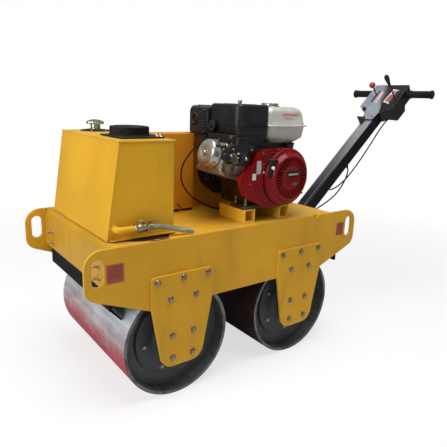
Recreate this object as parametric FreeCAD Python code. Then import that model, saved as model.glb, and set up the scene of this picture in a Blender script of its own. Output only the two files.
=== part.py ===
# Walk-behind smooth drum roller: two steel drums under a box of plate, a petrol engine
# and a water tank on its deck, and a steering handle that hinges at the back.
# Millimetres. +X is the way the front drum points, +Y its left side, +Z up. Z = 0 is the
# ground. Everything is laid out from the middle between the two drums, and moved at the
# end so that the origin is below the middle of the whole machine's box.

import FreeCAD
import Part
import math
import os

V = FreeCAD.Vector
os.makedirs("parts", exist_ok=True)

# ---- drums ----
drum_dia = 425.0
drum_width = 600.0
drum_wall = 12.0
wheelbase = 568.0
end_plate_recess = 48.0        # from the rim to the welded end plate
end_plate = 10.0
end_plate_hole_dia = 110.0
hub_flange_dia = 304.0
hub_flange = 10.0
hub_boss_dia = 150.0
hub_boss_length = 26.0
axle_dia = 60.0
axle_clearance = 0.05          # on the radius, a running fit
axle_reach_in = 28.0           # past the end plate's inner face
axle_flange = 125.0
axle_flange_thick = 14.0
axle_flange_radius = 14.0

# ---- frame; lengths beyond an axis are measured along X ----
side_clearance = 10.0          # from a drum's end to the side plate
side_plate = 10.0
hanger_plate = 10.0
deck_above_drums = 175.0
deck_plate = 8.0
deck_beyond_front_axis = 261.0
deck_beyond_rear_axis = 181.0
deck_bend_radius = 20.0
front_panel_depth = 154.0      # below the deck's top, as are the next three
rear_panel_depth = 228.0
side_plate_depth = 239.0
side_chin_depth = 152.7
side_beyond_axis = 344.0
side_belly_beyond_axis = 126.0
side_end_radius = 60.0
side_chin_radius = 45.0
notch_beyond_axis = 88.0
notch_half_width = 18.0
notch_depth = 12.0
lift_slot_from_end = 43.0
lift_slot_depth = 74.0
lift_slot_width = 40.0
lift_slot_height = 90.0

# ---- hangers ----
hanger_top_depth = 122.0       # below the deck's top
hanger_half_width = 123.0
hanger_straight = 111.0        # straight side, from the top down
hanger_below_axis = 79.5
hanger_foot_half_width = 80.0
hanger_foot_radius = 50.0
hanger_corner_radius = 12.0

# ---- scrapers ----
scraper_plate = 8.0
scraper_blade = 6.0
scraper_gap = 5.0              # from blade to drum
scraper_angle = 29.2           # where the blade meets the drum, above its axis
scraper_fold_above_axis = 165.5
scraper_side_gap = 20.0        # front scraper's plate to the side plate
blade_side_gap = 55.0          # blade to the drum's end
scraper_tab_width = 20.0
scraper_tab_rise = 72.0
scraper_back_set = 12.0        # rear scraper's plate, inside the front one's mirror place
rear_scraper_below = 6.0       # its plate below and above the fold
rear_scraper_above = 18.0

# ---- water tank ----
tank_behind_deck_front = 18.0
tank_length = 242.0
tank_lean = 49.0               # how far the front leans back by the top
tank_height = 317.0
tank_side_inset = 51.0         # from the side plate's inner face
tank_lid = 4.0
tank_lid_overhang = 8.0
tank_lid_side_overhang = 3.0
tank_plinth = 3.0
tank_plinth_inset = 12.0
filler_from_tank_rear = 77.0
filler_y = 88.0
filler_plate_aside = 24.0      # plate's middle to the left of the cap's
filler_plate_width = 157.0
filler_plate_length = 175.0
filler_plate_radius = 40.0
filler_plate = 5.0
filler_cap_dia = 132.0
filler_cap_height = 25.0
filler_cap_draft = 3.0         # narrower at the top, on the radius
breather_from_tank_rear = 90.0
breather_y = -185.0
breather_flange_dia = 98.0
breather_flange = 4.0
breather_stem_dia = 30.0
breather_head_dia = 52.0
breather_head = 18.0
breather_height = 43.0

# ---- drain ----
drain_behind_tank_front = 27.0
drain_above_deck = 41.0
drain_offset = 24.0            # from the tank's side to the pipe's axis
drain_pipe_dia = 22.0
drain_bend_radius = 16.0
drain_pipe_length = 56.0       # along X, from the outlet to the valve
valve_length = 44.0
valve_ball_dia = 34.0
valve_end_dia = 28.0
valve_end = 10.0
valve_stem_dia = 12.0
valve_lever_rise = 23.0
valve_lever = 4.0
valve_lever_width = 14.0
valve_lever_behind = 34.0
valve_lever_ahead = 8.0
hose_dia = 18.0

# ---- belt guard ----
guard_gap = 23.0               # behind the tank
guard_deep_length = 225.0
guard_length = 562.0
guard_off_gear_case = 4.0      # from the gear case to the flat half's near face
guard_flat_depth = 28.0
guard_step_depth = 62.0        # how far the deep half stands nearer than the flat one
guard_height = 317.0
guard_rear_height = 262.0
guard_rear_radius = 110.0

# ---- engine: x from its crank, y from its starter's face, z from its crank ----
crank_before_deck_rear = 264.0
starter_outside_frame = 8.0
crank_above_rails = 118.0
rail_size = 50.0
rail_wall = 4.0
rail_front_x = 159.0
rail_rear_x = -21.0
rail_near_end = -50.0
rail_far_end = -213.0
case_front = 139.0
case_rear = -91.0
case_far = -266.0
case_near = -83.0
case_top = 100.0
case_rear_radius = 90.0
case_front_slope = 60.0
foot_thick = 14.0
foot_overhang = 28.0          # beyond each rail's middle
foot_setback = 4.0
cylinder_angle = 17.5
cylinder_y = -163.0
cylinder_width = 150.0
cylinder_above = 52.0
cylinder_below = 68.0
cylinder_start = 60.0
cylinder_reach = 276.0         # from the crank to the head's face
valve_cover_dia = 100.0
valve_cover_depth = 30.0
valve_cover_rim = 4.0
gear_case_x = 70.0
gear_case_dia = 216.0
gear_case_far = -386.0
gear_case_neck_dia = 150.0
gear_case_neck = 40.0
shaft_dia = 25.0
fan_cover_near = -36.0
fan_cover_gap = 0.3            # over the engine's feet
fan_cover_radius = 112.0
starter_grille_dia = 168.0
fuel_tank_front = 64.0
fuel_tank_rear = -139.0
fuel_tank_far = -250.0
fuel_tank_near = -78.0
fuel_tank_bottom = 125.0
fuel_tank_seam = 192.0
fuel_tank_top = 264.0
fuel_tank_flange = 7.0
fuel_tank_flange_thick = 3.0
fuel_tank_radius = 26.0
fuel_cap_x = -12.0
fuel_cap_y = -163.0
fuel_cap_dia = 68.0
fuel_cap_height = 14.0
air_cleaner_front = 217.0
air_cleaner_rear = 67.0
air_cleaner_far = -238.0
air_cleaner_near = -66.0
air_cleaner_bottom = 160.0
air_cleaner_top = 270.0
air_cleaner_radius = 16.0
air_cleaner_knob_dia = 14.0
air_cleaner_knob = 13.0
muffler_front = 233.0
muffler_rear = 91.0
muffler_far = -373.0
muffler_near = -246.0
muffler_bottom = 138.0
muffler_top = 260.0
muffler_radius = 18.0
exhaust_dia = 34.0
exhaust_x = 191.0
exhaust_y = -270.0
exhaust_z = 96.0
outlet_y = -328.0
outlet_z = 211.0
outlet_dia = 30.0
outlet_bore_dia = 22.0
outlet_reach = 9.0
carburettor_depth = 30.0
elbow_depth = 20.0
elbow_front = 215.0
elbow_rear = 181.0
elbow_foot = 122.0

# ---- hydraulic pump ----
pump_x = 170.0
pump_y = -90.0
pump_size = 120.0
pump_height = 110.0
pump_nose_dia = 84.0
pump_nose_length = 90.0

# ---- handle; up is along the column from its pivot, out is square to it, on top ----
pivot_behind_deck = 80.0
pivot_above_scraper = 54.0     # over the rear scraper's plate
handle_angle = 42.5
column_size = 60.0
column_wall = 4.0
column_end = 800.0
column_solid_foot = 56.0
pivot_pin_dia = 20.0
pivot_pin_head = 8.0
pivot_clearance = 0.08
lug_gap = 5.0                  # each side of the column
lug_plate = 10.0
lug_reach = 95.0               # behind the pivot
bracket_plate = 8.0
bracket_half_width = 80.0
bracket_above = 75.0
bracket_below = 55.0
stop_bar_dia = 20.0
stop_bar_up = 55.0
stop_gap = 0.3
console_end = 1014.0
console_half_width = 100.0
console_rise = 6.0             # above the column's face
console_drop = 28.0
console_corner = 42.0
console_box_start = 838.0
console_box_end = 918.0
console_box_drop = 54.0
plate_thick = 5.0
plate_half_width = 105.0
plate_foot = 743.0
plate_foot_half_width = 42.0
plate_waist = 797.0
bar_up = 979.0
bar_above = 7.0
bar_dia = 28.0
grip_dia = 37.0
grip_start = 122.0
grip_end = 250.0
grip_flange_dia = 44.0
grip_flange = 6.0
lever_slot_width = 8.0
lever_slot_low = 879.0
lever_slot_high = 964.0
lever_rod_dia = 8.0
vibration_lever_y = -52.0
vibration_lever_up = 929.0
vibration_lever_length = 74.0
vibration_knob_dia = 28.0
travel_lever_y = 59.0
travel_lever_up = 923.0
travel_lever_length = 64.0
travel_lever_lean = 10.0
travel_knob_length = 70.0
travel_knob_dia = 25.0
travel_knob_neck_dia = 13.0
throttle_clamp_up = 716.0
throttle_clamp_length = 22.0

# ---- cables ----
cable_dia = 7.0
throttle_cable_dia = 6.0
gland_dia = 16.0
gland_length = 14.0
gland_y = 96.0
gland_depth = 80.0             # below the deck's top
block_length = 30.0
block_width = 18.0
block_height = 16.0

# ---- what follows from those ----
drum_radius = drum_dia / 2
front_axis = wheelbase / 2
rear_axis = -front_axis
end_plate_outer = drum_width / 2 - end_plate_recess
frame_inner = drum_width / 2 + side_clearance
frame_half_width = frame_inner + side_plate
deck_height = drum_dia + deck_above_drums
deck_front = front_axis + deck_beyond_front_axis
deck_rear = rear_axis - deck_beyond_rear_axis
side_end = front_axis + side_beyond_axis
scraper_fold = drum_radius + scraper_fold_above_axis
tank_front = deck_front - tank_behind_deck_front
tank_rear = tank_front - tank_length
tank_half_width = frame_inner - tank_side_inset
tank_top = deck_height + tank_height
guard_front = tank_rear - guard_gap
rail_top = deck_height + rail_size
crank = V(deck_rear + crank_before_deck_rear, frame_half_width + starter_outside_frame,
          rail_top + crank_above_rails)
rail_level = -crank_above_rails
guard_back_near_face = crank.y + gear_case_far - guard_off_gear_case
guard_near_face = guard_back_near_face + guard_step_depth
guard_far_face = guard_back_near_face - guard_flat_depth
pivot = V(deck_rear - pivot_behind_deck, 0, scraper_fold + rear_scraper_above + pivot_above_scraper)


# ---- helpers ----
def rounded_wire(points, at):
    """Closed wire through (a, b, radius) corners; at(a, b) places a corner in space."""
    edges = []
    ends = []
    count = len(points)
    for i in range(count):
        a, b, radius = points[i]
        corner = V(a, b, 0)
        before = V(points[i - 1][0], points[i - 1][1], 0) - corner
        after = V(points[(i + 1) % count][0], points[(i + 1) % count][1], 0) - corner
        before.normalize()
        after.normalize()
        if radius == 0:
            ends.append((corner, corner, None))
            continue
        half = before.getAngle(after) / 2
        run = radius / math.tan(half)
        bisector = before + after
        bisector.normalize()
        middle = corner + bisector * (radius / math.sin(half) - radius)
        ends.append((corner + before * run, corner + after * run, middle))
    for i in range(count):
        start, end, middle = ends[i]
        following = ends[(i + 1) % count][0]
        if middle is not None:
            arc = Part.Arc(at(start.x, start.y), at(middle.x, middle.y), at(end.x, end.y))
            edges.append(arc.toShape())
        if end.distanceToPoint(following) > 1e-6:
            line = Part.LineSegment(at(end.x, end.y), at(following.x, following.y))
            edges.append(line.toShape())
    return Part.Wire(edges)


def rectangle(a_from, a_to, b_from, b_to, radius=0.0):
    """Corners of a rectangle, for rounded_wire and the slabs."""
    return [(a_from, b_from, radius), (a_to, b_from, radius), (a_to, b_to, radius), (a_from, b_to, radius)]


def slab_xz(points, y_from, y_to):
    """Plate of the XZ outline between two y values."""
    wire = rounded_wire(points, lambda a, b: V(a, y_from, b))
    return Part.Face(wire).extrude(V(0, y_to - y_from, 0))


def slab_xy(points, z_from, z_to):
    """Plate of the XY outline between two heights."""
    wire = rounded_wire(points, lambda a, b: V(a, b, z_from))
    return Part.Face(wire).extrude(V(0, 0, z_to - z_from))


def box(x_from, x_to, y_from, y_to, z_from, z_to):
    corner = V(x_from, y_from, z_from)
    return Part.makeBox(x_to - x_from, y_to - y_from, z_to - z_from, corner)


def round_bar(start, end, diameter):
    return Part.makeCylinder(diameter / 2, (end - start).Length, start, end - start)


def disc(x, y_from, y_to, z, diameter):
    """Cylinder along Y."""
    return round_bar(V(x, y_from, z), V(x, y_to, z), diameter)


def turned(profile, base, axis):
    """Solid of revolution of (distance along the axis, radius) points."""
    points = [V(0, 0, profile[0][0])]
    points += [V(radius, 0, along) for along, radius in profile]
    points += [V(0, 0, profile[-1][0]), V(0, 0, profile[0][0])]
    solid = Part.Face(Part.makePolygon(points)).revolve(V(0, 0, 0), V(0, 0, 1), 360)
    solid.Placement = FreeCAD.Placement(base, FreeCAD.Rotation(V(0, 0, 1), axis))
    return solid


def mirrored(shape):
    """The same piece on the machine's other side."""
    return shape.mirror(V(0, 0, 0), V(0, 1, 0))


def hose(points, diameter, name):
    """Tube along straight runs joined by arcs as large as the runs allow."""
    edges = []
    radii = []
    at = points[0]
    for i in range(1, len(points) - 1):
        back = points[i - 1] - points[i]
        on = points[i + 1] - points[i]
        turn = math.pi - back.getAngle(on)
        run = 0.45 * min(back.Length, on.Length)
        radius = run / math.tan(turn / 2)
        back.normalize()
        on.normalize()
        bisector = back + on
        bisector.normalize()
        start = points[i] + back * run
        end = points[i] + on * run
        middle = points[i] + bisector * (radius / math.cos(turn / 2) - radius)
        edges.append(Part.LineSegment(at, start).toShape())
        edges.append(Part.Arc(start, middle, end).toShape())
        radii.append(radius)
        at = end
    edges.append(Part.LineSegment(at, points[-1]).toShape())
    path = Part.Wire(edges)
    ring = Part.Circle(points[0], points[1] - points[0], diameter / 2).toShape()
    tube = path.makePipeShell([Part.Wire([ring])], True, False)
    expected = math.pi * diameter ** 2 / 4 * path.Length
    print(name, "length", round(path.Length, 1), "radii", [round(r) for r in radii],
          "volume share", round(tube.Volume / expected, 4))
    return tube


def on_handle(up, out, y=0.0):
    """Point on the handle: up the column from the pivot, and out from its axis."""
    angle = math.radians(handle_angle)
    x = pivot.x - up * math.cos(angle) + out * math.sin(angle)
    z = pivot.z + up * math.sin(angle) + out * math.cos(angle)
    return V(x, y, z)


def slab_handle(points, y_from, y_to):
    """Plate of an outline in the handle's (up, out) plane between two y values."""
    wire = rounded_wire(points, lambda a, b: on_handle(a, b, y_from))
    return Part.Face(wire).extrude(V(0, y_to - y_from, 0))


def slab_handle_face(points, out_from, out_to):
    """Plate of an outline in the handle's (up, y) plane between two distances out."""
    wire = rounded_wire(points, lambda a, b: on_handle(a, out_from, b))
    return Part.Face(wire).extrude(on_handle(0, out_to) - on_handle(0, out_from))


nodes = {}


# ---- drums: a welded tube with an end plate near each rim, and a bolted hub ----
def drum(axis_x):
    half = drum_width / 2
    bore_dia = drum_dia - 2 * drum_wall
    tube = disc(axis_x, -half, half, drum_radius, drum_dia)
    tube = tube.cut(disc(axis_x, -half, half, drum_radius, bore_dia))
    for inner in (end_plate_outer - end_plate, -end_plate_outer):
        plate = disc(axis_x, inner, inner + end_plate, drum_radius, bore_dia)
        hole = disc(axis_x, inner, inner + end_plate, drum_radius, end_plate_hole_dia)
        tube = tube.fuse(plate.cut(hole))
    return tube.removeSplitter()


def hubs(axis_x):
    end = end_plate_outer + hub_flange
    boss_end = end + hub_boss_length
    hub = disc(axis_x, end_plate_outer, end, drum_radius, hub_flange_dia)
    hub = hub.fuse(disc(axis_x, end_plate_outer, boss_end, drum_radius, hub_boss_dia)).removeSplitter()
    hub = hub.cut(disc(axis_x, end_plate_outer, boss_end, drum_radius, axle_dia + 2 * axle_clearance))
    return Part.makeCompound([hub, mirrored(hub)])


def axles(axis_x):
    """A square flange bolted inside each hanger, with the stub axle that carries the hub."""
    half = axle_flange / 2
    inner_y = frame_half_width - axle_flange_thick
    outline = rectangle(axis_x - half, axis_x + half, drum_radius - half, drum_radius + half,
                        axle_flange_radius)
    tip_y = end_plate_outer - end_plate - axle_reach_in
    stub = disc(axis_x, tip_y, inner_y, drum_radius, axle_dia)
    axle = slab_xz(outline, inner_y, frame_half_width).fuse(stub).removeSplitter()
    return Part.makeCompound([axle, mirrored(axle)])


# ---- hangers: the plates bolted to the frame's sides that hold the axles ----
def hanger(axis_x):
    top = deck_height - hanger_top_depth
    shoulder = top - hanger_straight
    bottom = drum_radius - hanger_below_axis
    outline = [(axis_x - hanger_half_width, top, hanger_corner_radius),
               (axis_x + hanger_half_width, top, hanger_corner_radius),
               (axis_x + hanger_half_width, shoulder, hanger_corner_radius),
               (axis_x + hanger_foot_half_width, bottom, hanger_foot_radius),
               (axis_x - hanger_foot_half_width, bottom, hanger_foot_radius),
               (axis_x - hanger_half_width, shoulder, hanger_corner_radius)]
    return slab_xz(outline, frame_half_width, frame_half_width + hanger_plate)


for place, axis_x in (("front", front_axis), ("rear", rear_axis)):
    nodes[place + "_drum"] = drum(axis_x)
    nodes[place + "_drum_hubs"] = hubs(axis_x)
    nodes[place + "_axles"] = axles(axis_x)
    nodes["hanger_" + place + "_left"] = hanger(axis_x)
    nodes["hanger_" + place + "_right"] = mirrored(hanger(axis_x))


# ---- side plates, each with a lifting slot at both ends ----
def side():
    notch_x = rear_axis - notch_beyond_axis
    belly_end = front_axis + side_belly_beyond_axis
    chin = deck_height - side_chin_depth
    belly = deck_height - side_plate_depth
    outline = [(-side_end, deck_height, side_end_radius),
               (notch_x - notch_half_width, deck_height, 0),
               (notch_x, deck_height - notch_depth, 0),
               (notch_x + notch_half_width, deck_height, 0),
               (side_end, deck_height, side_end_radius),
               (side_end, chin, side_chin_radius),
               (belly_end, belly, 0),
               (-belly_end, belly, 0),
               (-side_end, chin, side_chin_radius)]
    plate = slab_xz(outline, frame_inner, frame_half_width)
    half_w = lift_slot_width / 2
    slot_z = deck_height - lift_slot_depth
    for x in (lift_slot_from_end - side_end, side_end - lift_slot_from_end):
        slot = rectangle(x - half_w, x + half_w, slot_z - lift_slot_height / 2,
                         slot_z + lift_slot_height / 2, half_w - 0.001)
        plate = plate.cut(slab_xz(slot, frame_inner, frame_half_width))
    return plate


nodes["side_plate_left"] = side()
nodes["side_plate_right"] = mirrored(side())

# ---- deck, the front panel bent down from it, and the rear panel ----
bend_start = deck_front - deck_bend_radius
deck_under = deck_height - deck_plate
nodes["deck_plate"] = box(deck_rear, bend_start, -frame_inner, frame_inner, deck_under, deck_height)
nodes["rear_panel"] = box(deck_rear, deck_rear + deck_plate, -frame_inner, frame_inner,
                          deck_height - rear_panel_depth, deck_under)


def front_panel():
    bend_z = deck_height - deck_bend_radius
    bottom = deck_height - front_panel_depth
    inner_radius = deck_bend_radius - deck_plate
    slant = math.sqrt(0.5)
    outer_mid = V(bend_start + deck_bend_radius * slant, -frame_inner, bend_z + deck_bend_radius * slant)
    inner_mid = V(bend_start + inner_radius * slant, -frame_inner, bend_z + inner_radius * slant)
    a = V(bend_start, -frame_inner, deck_height)
    b = V(deck_front, -frame_inner, bend_z)
    c = V(deck_front, -frame_inner, bottom)
    d = V(deck_front - deck_plate, -frame_inner, bottom)
    e = V(deck_front - deck_plate, -frame_inner, bend_z)
    f = V(bend_start, -frame_inner, deck_under)
    edges = [Part.Arc(a, outer_mid, b).toShape(), Part.LineSegment(b, c).toShape(),
             Part.LineSegment(c, d).toShape(), Part.LineSegment(d, e).toShape(),
             Part.Arc(e, inner_mid, f).toShape(), Part.LineSegment(f, a).toShape()]
    return Part.Face(Part.Wire(edges)).extrude(V(0, 2 * frame_inner, 0))


nodes["front_panel"] = front_panel()


# ---- scrapers: a plate with a folded blade that clears the drum ----
def blade(axis_x, fold_x, toward):
    """Flat blade from the plate's foot to just off the drum; toward is +1 before, -1 behind."""
    angle = math.radians(scraper_angle)
    reach = drum_radius + scraper_gap
    tip = V(axis_x + toward * reach * math.cos(angle), 0, drum_radius + reach * math.sin(angle))
    fold = V(fold_x, 0, scraper_fold)
    along = tip - fold
    along.normalize()
    outward = V(-along.z, 0, along.x)
    if outward.x * toward < 0:
        outward = outward * -1
    half = drum_width / 2 - blade_side_gap
    corners = [fold, tip, tip + outward * scraper_blade, fold + outward * scraper_blade, fold]
    corners = [V(p.x, -half, p.z) for p in corners]
    return Part.Face(Part.makePolygon(corners)).extrude(V(0, 2 * half, 0))


def front_scraper():
    outer = deck_front - deck_plate
    half = frame_inner - scraper_side_gap
    plate = box(outer - scraper_plate, outer, -half, half, scraper_fold, deck_under - 2 * deck_bend_radius)
    return plate.fuse(blade(front_axis, outer - scraper_plate, 1)).removeSplitter()


def rear_scraper():
    outer = -(deck_front - scraper_back_set)
    inner = outer + scraper_plate
    plate = box(outer, inner, -frame_inner, frame_inner, scraper_fold - rear_scraper_below,
                scraper_fold + rear_scraper_above)
    for y in (-frame_inner, frame_inner - scraper_tab_width):
        plate = plate.fuse(box(outer, inner, y, y + scraper_tab_width, scraper_fold, scraper_fold + scraper_tab_rise))
    return plate.fuse(blade(rear_axis, inner, -1)).removeSplitter()


nodes["front_scraper"] = front_scraper()
nodes["rear_scraper"] = rear_scraper()


# ---- water tank: a box with a leaning front, on a low plinth, under an overhanging lid ----
def water_tank():
    floor = deck_height + tank_plinth
    lid_floor = tank_top - tank_lid
    front_top = tank_front - tank_lean
    lean = tank_lean / (tank_top - floor)
    outline = [(tank_rear, floor, 0), (tank_front, floor, 0),
               (front_top + lean * tank_lid, lid_floor, 0), (tank_rear, lid_floor, 0)]
    body = slab_xz(outline, -tank_half_width, tank_half_width)
    lid_half = tank_half_width + tank_lid_side_overhang
    lid = box(tank_rear - tank_lid_overhang, front_top + tank_lid_side_overhang, -lid_half, lid_half,
              lid_floor, tank_top)
    inset = tank_plinth_inset
    plinth = box(tank_rear + inset, tank_front - inset, -tank_half_width + inset, tank_half_width - inset,
                 deck_height, floor)
    return body.fuse([lid, plinth]).removeSplitter()


nodes["water_tank"] = water_tank()


def tank_filler():
    x = tank_rear + filler_from_tank_rear
    half_x = filler_plate_width / 2
    half_y = filler_plate_length / 2
    plate_y = filler_y + filler_plate_aside
    outline = rectangle(x - half_x, x + half_x, plate_y - half_y, plate_y + half_y, filler_plate_radius)
    plate = slab_xy(outline, tank_top, tank_top + filler_plate)
    radius = filler_cap_dia / 2
    cap = [(0, radius), (filler_cap_height - filler_cap_draft, radius - filler_cap_draft),
           (filler_cap_height, radius - 2 * filler_cap_draft)]
    return plate.fuse(turned(cap, V(x, filler_y, tank_top + filler_plate), V(0, 0, 1))).removeSplitter()


nodes["tank_filler"] = tank_filler()

neck = breather_height - breather_head
breather_profile = [(0, breather_flange_dia / 2), (breather_flange, breather_flange_dia / 2),
                    (breather_flange, breather_stem_dia / 2), (neck, breather_stem_dia / 2),
                    (neck + 4.0, breather_head_dia / 2), (breather_height - 6.0, breather_head_dia / 2),
                    (breather_height, breather_head_dia / 4)]
breather_foot = V(tank_rear + breather_from_tank_rear, breather_y, tank_top)
nodes["tank_breather"] = turned(breather_profile, breather_foot, V(0, 0, 1))

# ---- drain: a bent pipe out of the tank's side, a ball valve, and a clear hose ----
outlet = V(tank_front - drain_behind_tank_front, tank_half_width, deck_height + drain_above_deck)
valve_face = outlet + V(-drain_pipe_length, drain_offset, 0)


def drain_valve():
    radius = drain_bend_radius
    slant = math.sqrt(0.5)
    bend_in = outlet + V(0, drain_offset - radius, 0)
    bend_mid = bend_in + V(radius * (slant - 1), radius * slant, 0)
    bend_out = bend_in + V(-radius, radius, 0)
    path = Part.Wire([Part.LineSegment(outlet, bend_in).toShape(), Part.Arc(bend_in, bend_mid, bend_out).toShape(),
                      Part.LineSegment(bend_out, valve_face).toShape()])
    ring = Part.Wire([Part.Circle(outlet, V(0, 1, 0), drain_pipe_dia / 2).toShape()])
    pipe = path.makePipeShell([ring], True, False)
    shoulder = valve_end + 4.0
    profile = [(0, valve_end_dia / 2), (valve_end, valve_end_dia / 2), (shoulder, valve_ball_dia / 2),
               (valve_length - shoulder, valve_ball_dia / 2), (valve_length - valve_end, valve_end_dia / 2),
               (valve_length, valve_end_dia / 2)]
    body = turned(profile, valve_face, V(-1, 0, 0))
    middle = valve_face - V(valve_length / 2, 0, 0)
    lever_z = middle.z + valve_lever_rise
    stem = round_bar(middle, V(middle.x, middle.y, lever_z + 1.0), valve_stem_dia)
    lever = box(middle.x - valve_lever_behind, middle.x + valve_lever_ahead, middle.y - valve_lever_width / 2,
                middle.y + valve_lever_width / 2, lever_z, lever_z + valve_lever)
    return pipe.fuse([body, stem, lever]).removeSplitter()


nodes["drain_valve"] = drain_valve()
hose_start = valve_face - V(valve_length, 0, 0)
hose_steps = [(0, 0, 0), (-30, 0, 0), (-66, 1.5, -6), (-102, 6, -17), (-136, 13, -26), (-168, 22, -28)]
nodes["drain_hose"] = hose([hose_start + V(*step) for step in hose_steps], hose_dia, "drain_hose")


# ---- belt guard: a deep box before the engine and a flat one behind its shaft ----
def belt_guard():
    step = guard_front - guard_deep_length
    rear = guard_front - guard_length
    rear_top = deck_height + guard_rear_height
    deep = box(step, guard_front, guard_far_face, guard_near_face, deck_height, deck_height + guard_height)
    outline = [(step, deck_height, 0), (rear, deck_height, 0), (rear, rear_top, guard_rear_radius),
               (step, rear_top, 0)]
    return deep.fuse(slab_xz(outline, guard_far_face, guard_back_near_face)).removeSplitter()


nodes["belt_guard"] = belt_guard()

# ---- engine and its rails, drawn from the crank's end and moved there below ----
engine = {}


def rail(x):
    """Open square tube across the deck."""
    half = rail_size / 2
    inside = half - rail_wall
    bottom = rail_level - rail_size
    tube = box(x - half, x + half, rail_far_end, rail_near_end, bottom, rail_level)
    return tube.cut(box(x - inside, x + inside, rail_far_end, rail_near_end, bottom + rail_wall,
                        rail_level - rail_wall))


engine["engine_rails"] = Part.makeCompound([rail(rail_front_x), rail(rail_rear_x)])


def along_cylinder(distance, rise, y):
    angle = math.radians(cylinder_angle)
    x = distance * math.cos(angle) - rise * math.sin(angle)
    z = distance * math.sin(angle) + rise * math.cos(angle)
    return V(x, y, z)


foot_top = rail_level + foot_thick
foot_near = rail_near_end - foot_setback
cylinder_near = cylinder_y + cylinder_width / 2
cylinder_far = cylinder_y - cylinder_width / 2


def engine_block():
    """Crankcase on its feet, and the leaning cylinder, as one casting."""
    outline = [(case_rear, rail_level, 10.0), (case_front, rail_level, 10.0), (case_front, case_top - 40.0, 20.0),
               (case_front - case_front_slope, case_top, 20.0), (case_rear, case_top, case_rear_radius)]
    case = slab_xz(outline, case_far, case_near)
    feet = box(rail_rear_x - foot_overhang, rail_front_x + foot_overhang, case_near - 60.0, foot_near,
               rail_level, foot_top)
    ends = ((cylinder_start, -cylinder_below), (cylinder_reach, -cylinder_below),
            (cylinder_reach, cylinder_above), (cylinder_start, cylinder_above), (cylinder_start, -cylinder_below))
    corners = [along_cylinder(distance, rise, cylinder_far) for distance, rise in ends]
    cylinder = Part.Face(Part.makePolygon(corners)).extrude(V(0, cylinder_width, 0))
    return case.fuse([feet, cylinder]).removeSplitter()


engine["engine_block"] = engine_block()

head_face = along_cylinder(cylinder_reach, 0, cylinder_y)
head_axis = along_cylinder(cylinder_reach + 1.0, 0, cylinder_y) - head_face
cover_radius = valve_cover_dia / 2
rim = cover_radius + valve_cover_rim
cover_profile = [(0, rim), (valve_cover_rim, rim), (valve_cover_rim + 1.0, cover_radius),
                 (valve_cover_depth * 0.55, cover_radius * 0.93), (valve_cover_depth * 0.82, cover_radius * 0.72),
                 (valve_cover_depth, cover_radius * 0.34), (valve_cover_depth + 3.0, cover_radius * 0.16),
                 (valve_cover_depth + 9.0, cover_radius * 0.16)]
engine["valve_cover"] = turned(cover_profile, head_face, head_axis)


def gear_case():
    """Round reduction case on the crankcase's far face, with its shaft into the belt guard."""
    neck_end = case_far - gear_case_neck
    case = disc(gear_case_x, gear_case_far, neck_end, 0, gear_case_dia)
    neck = disc(gear_case_x, neck_end, case_far, 0, gear_case_neck_dia)
    shaft = disc(0, guard_back_near_face - crank.y, neck_end, 0, shaft_dia)
    return case.fuse([neck, shaft]).removeSplitter()


engine["gear_case"] = gear_case()


def fan_cover():
    """Sheet-metal shroud round the flywheel, reaching forward along the cylinder."""
    r = fan_cover_radius
    outline = [(-16.0, r, 0), (77.0, r, 12.0), (132.0, 100.0, 8.0), (153.0, 56.0, 10.0), (213.0, 3.0, 12.0),
               (186.0, -53.0, 12.0), (70.0, -r, 12.0), (0.0, -r, 0)]
    reach = slab_xz(outline, case_near, fan_cover_near)
    ring = disc(0, case_near, fan_cover_near, 0, 2 * r)
    clear = box(case_rear - r, case_front + r, case_near - 1.0, foot_near + fan_cover_gap,
                rail_level - rail_size, foot_top + fan_cover_gap)
    return reach.fuse(ring).removeSplitter().cut(clear)


engine["fan_cover"] = fan_cover()
starter_depth = -fan_cover_near
grille_radius = starter_grille_dia / 2
starter_profile = [(0, fan_cover_radius), (starter_depth * 0.3, fan_cover_radius),
                   (starter_depth * 0.55, grille_radius + 9.0), (starter_depth * 0.9, grille_radius),
                   (starter_depth, grille_radius - 8.0)]
engine["recoil_starter"] = turned(starter_profile, V(0, fan_cover_near, 0), V(0, 1, 0))


def fuel_tank():
    """Two pressed halves that taper from a seam flange, on brackets from the crankcase."""
    levels = [(fuel_tank_bottom, 45.0, 18.0), (fuel_tank_bottom + 20.0, 8.0, 6.0), (fuel_tank_seam, 0.0, 0.0),
              (fuel_tank_top - 24.0, 12.0, 8.0), (fuel_tank_top - 8.0, 18.0, 14.0), (fuel_tank_top, 28.0, 24.0)]
    sections = []
    for z, behind, around in levels:
        outline = rectangle(fuel_tank_rear + behind, fuel_tank_front - around, fuel_tank_far + around,
                            fuel_tank_near - around, fuel_tank_radius)
        sections.append(rounded_wire(outline, lambda a, b: V(a, b, z)))
    tank = Part.makeLoft(sections, True, True)
    flange = rectangle(fuel_tank_rear - fuel_tank_flange, fuel_tank_front, fuel_tank_far - fuel_tank_flange,
                       fuel_tank_near + fuel_tank_flange, fuel_tank_radius)
    half = fuel_tank_flange_thick / 2
    tank = tank.fuse(slab_xy(flange, fuel_tank_seam - half, fuel_tank_seam + half))
    for y in (fuel_tank_far + 30.0, fuel_tank_near - 45.0):
        tank = tank.fuse(box(5.0, 35.0, y, y + 20.0, case_top, fuel_tank_bottom + 2.0))
    return tank.removeSplitter()


engine["fuel_tank"] = fuel_tank()
cap_radius = fuel_cap_dia / 2
cap_profile = [(0, cap_radius), (fuel_cap_height * 0.75, cap_radius), (fuel_cap_height, cap_radius - 4.0)]
engine["fuel_cap"] = turned(cap_profile, V(fuel_cap_x, fuel_cap_y, fuel_tank_top), V(0, 0, 1))


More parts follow.
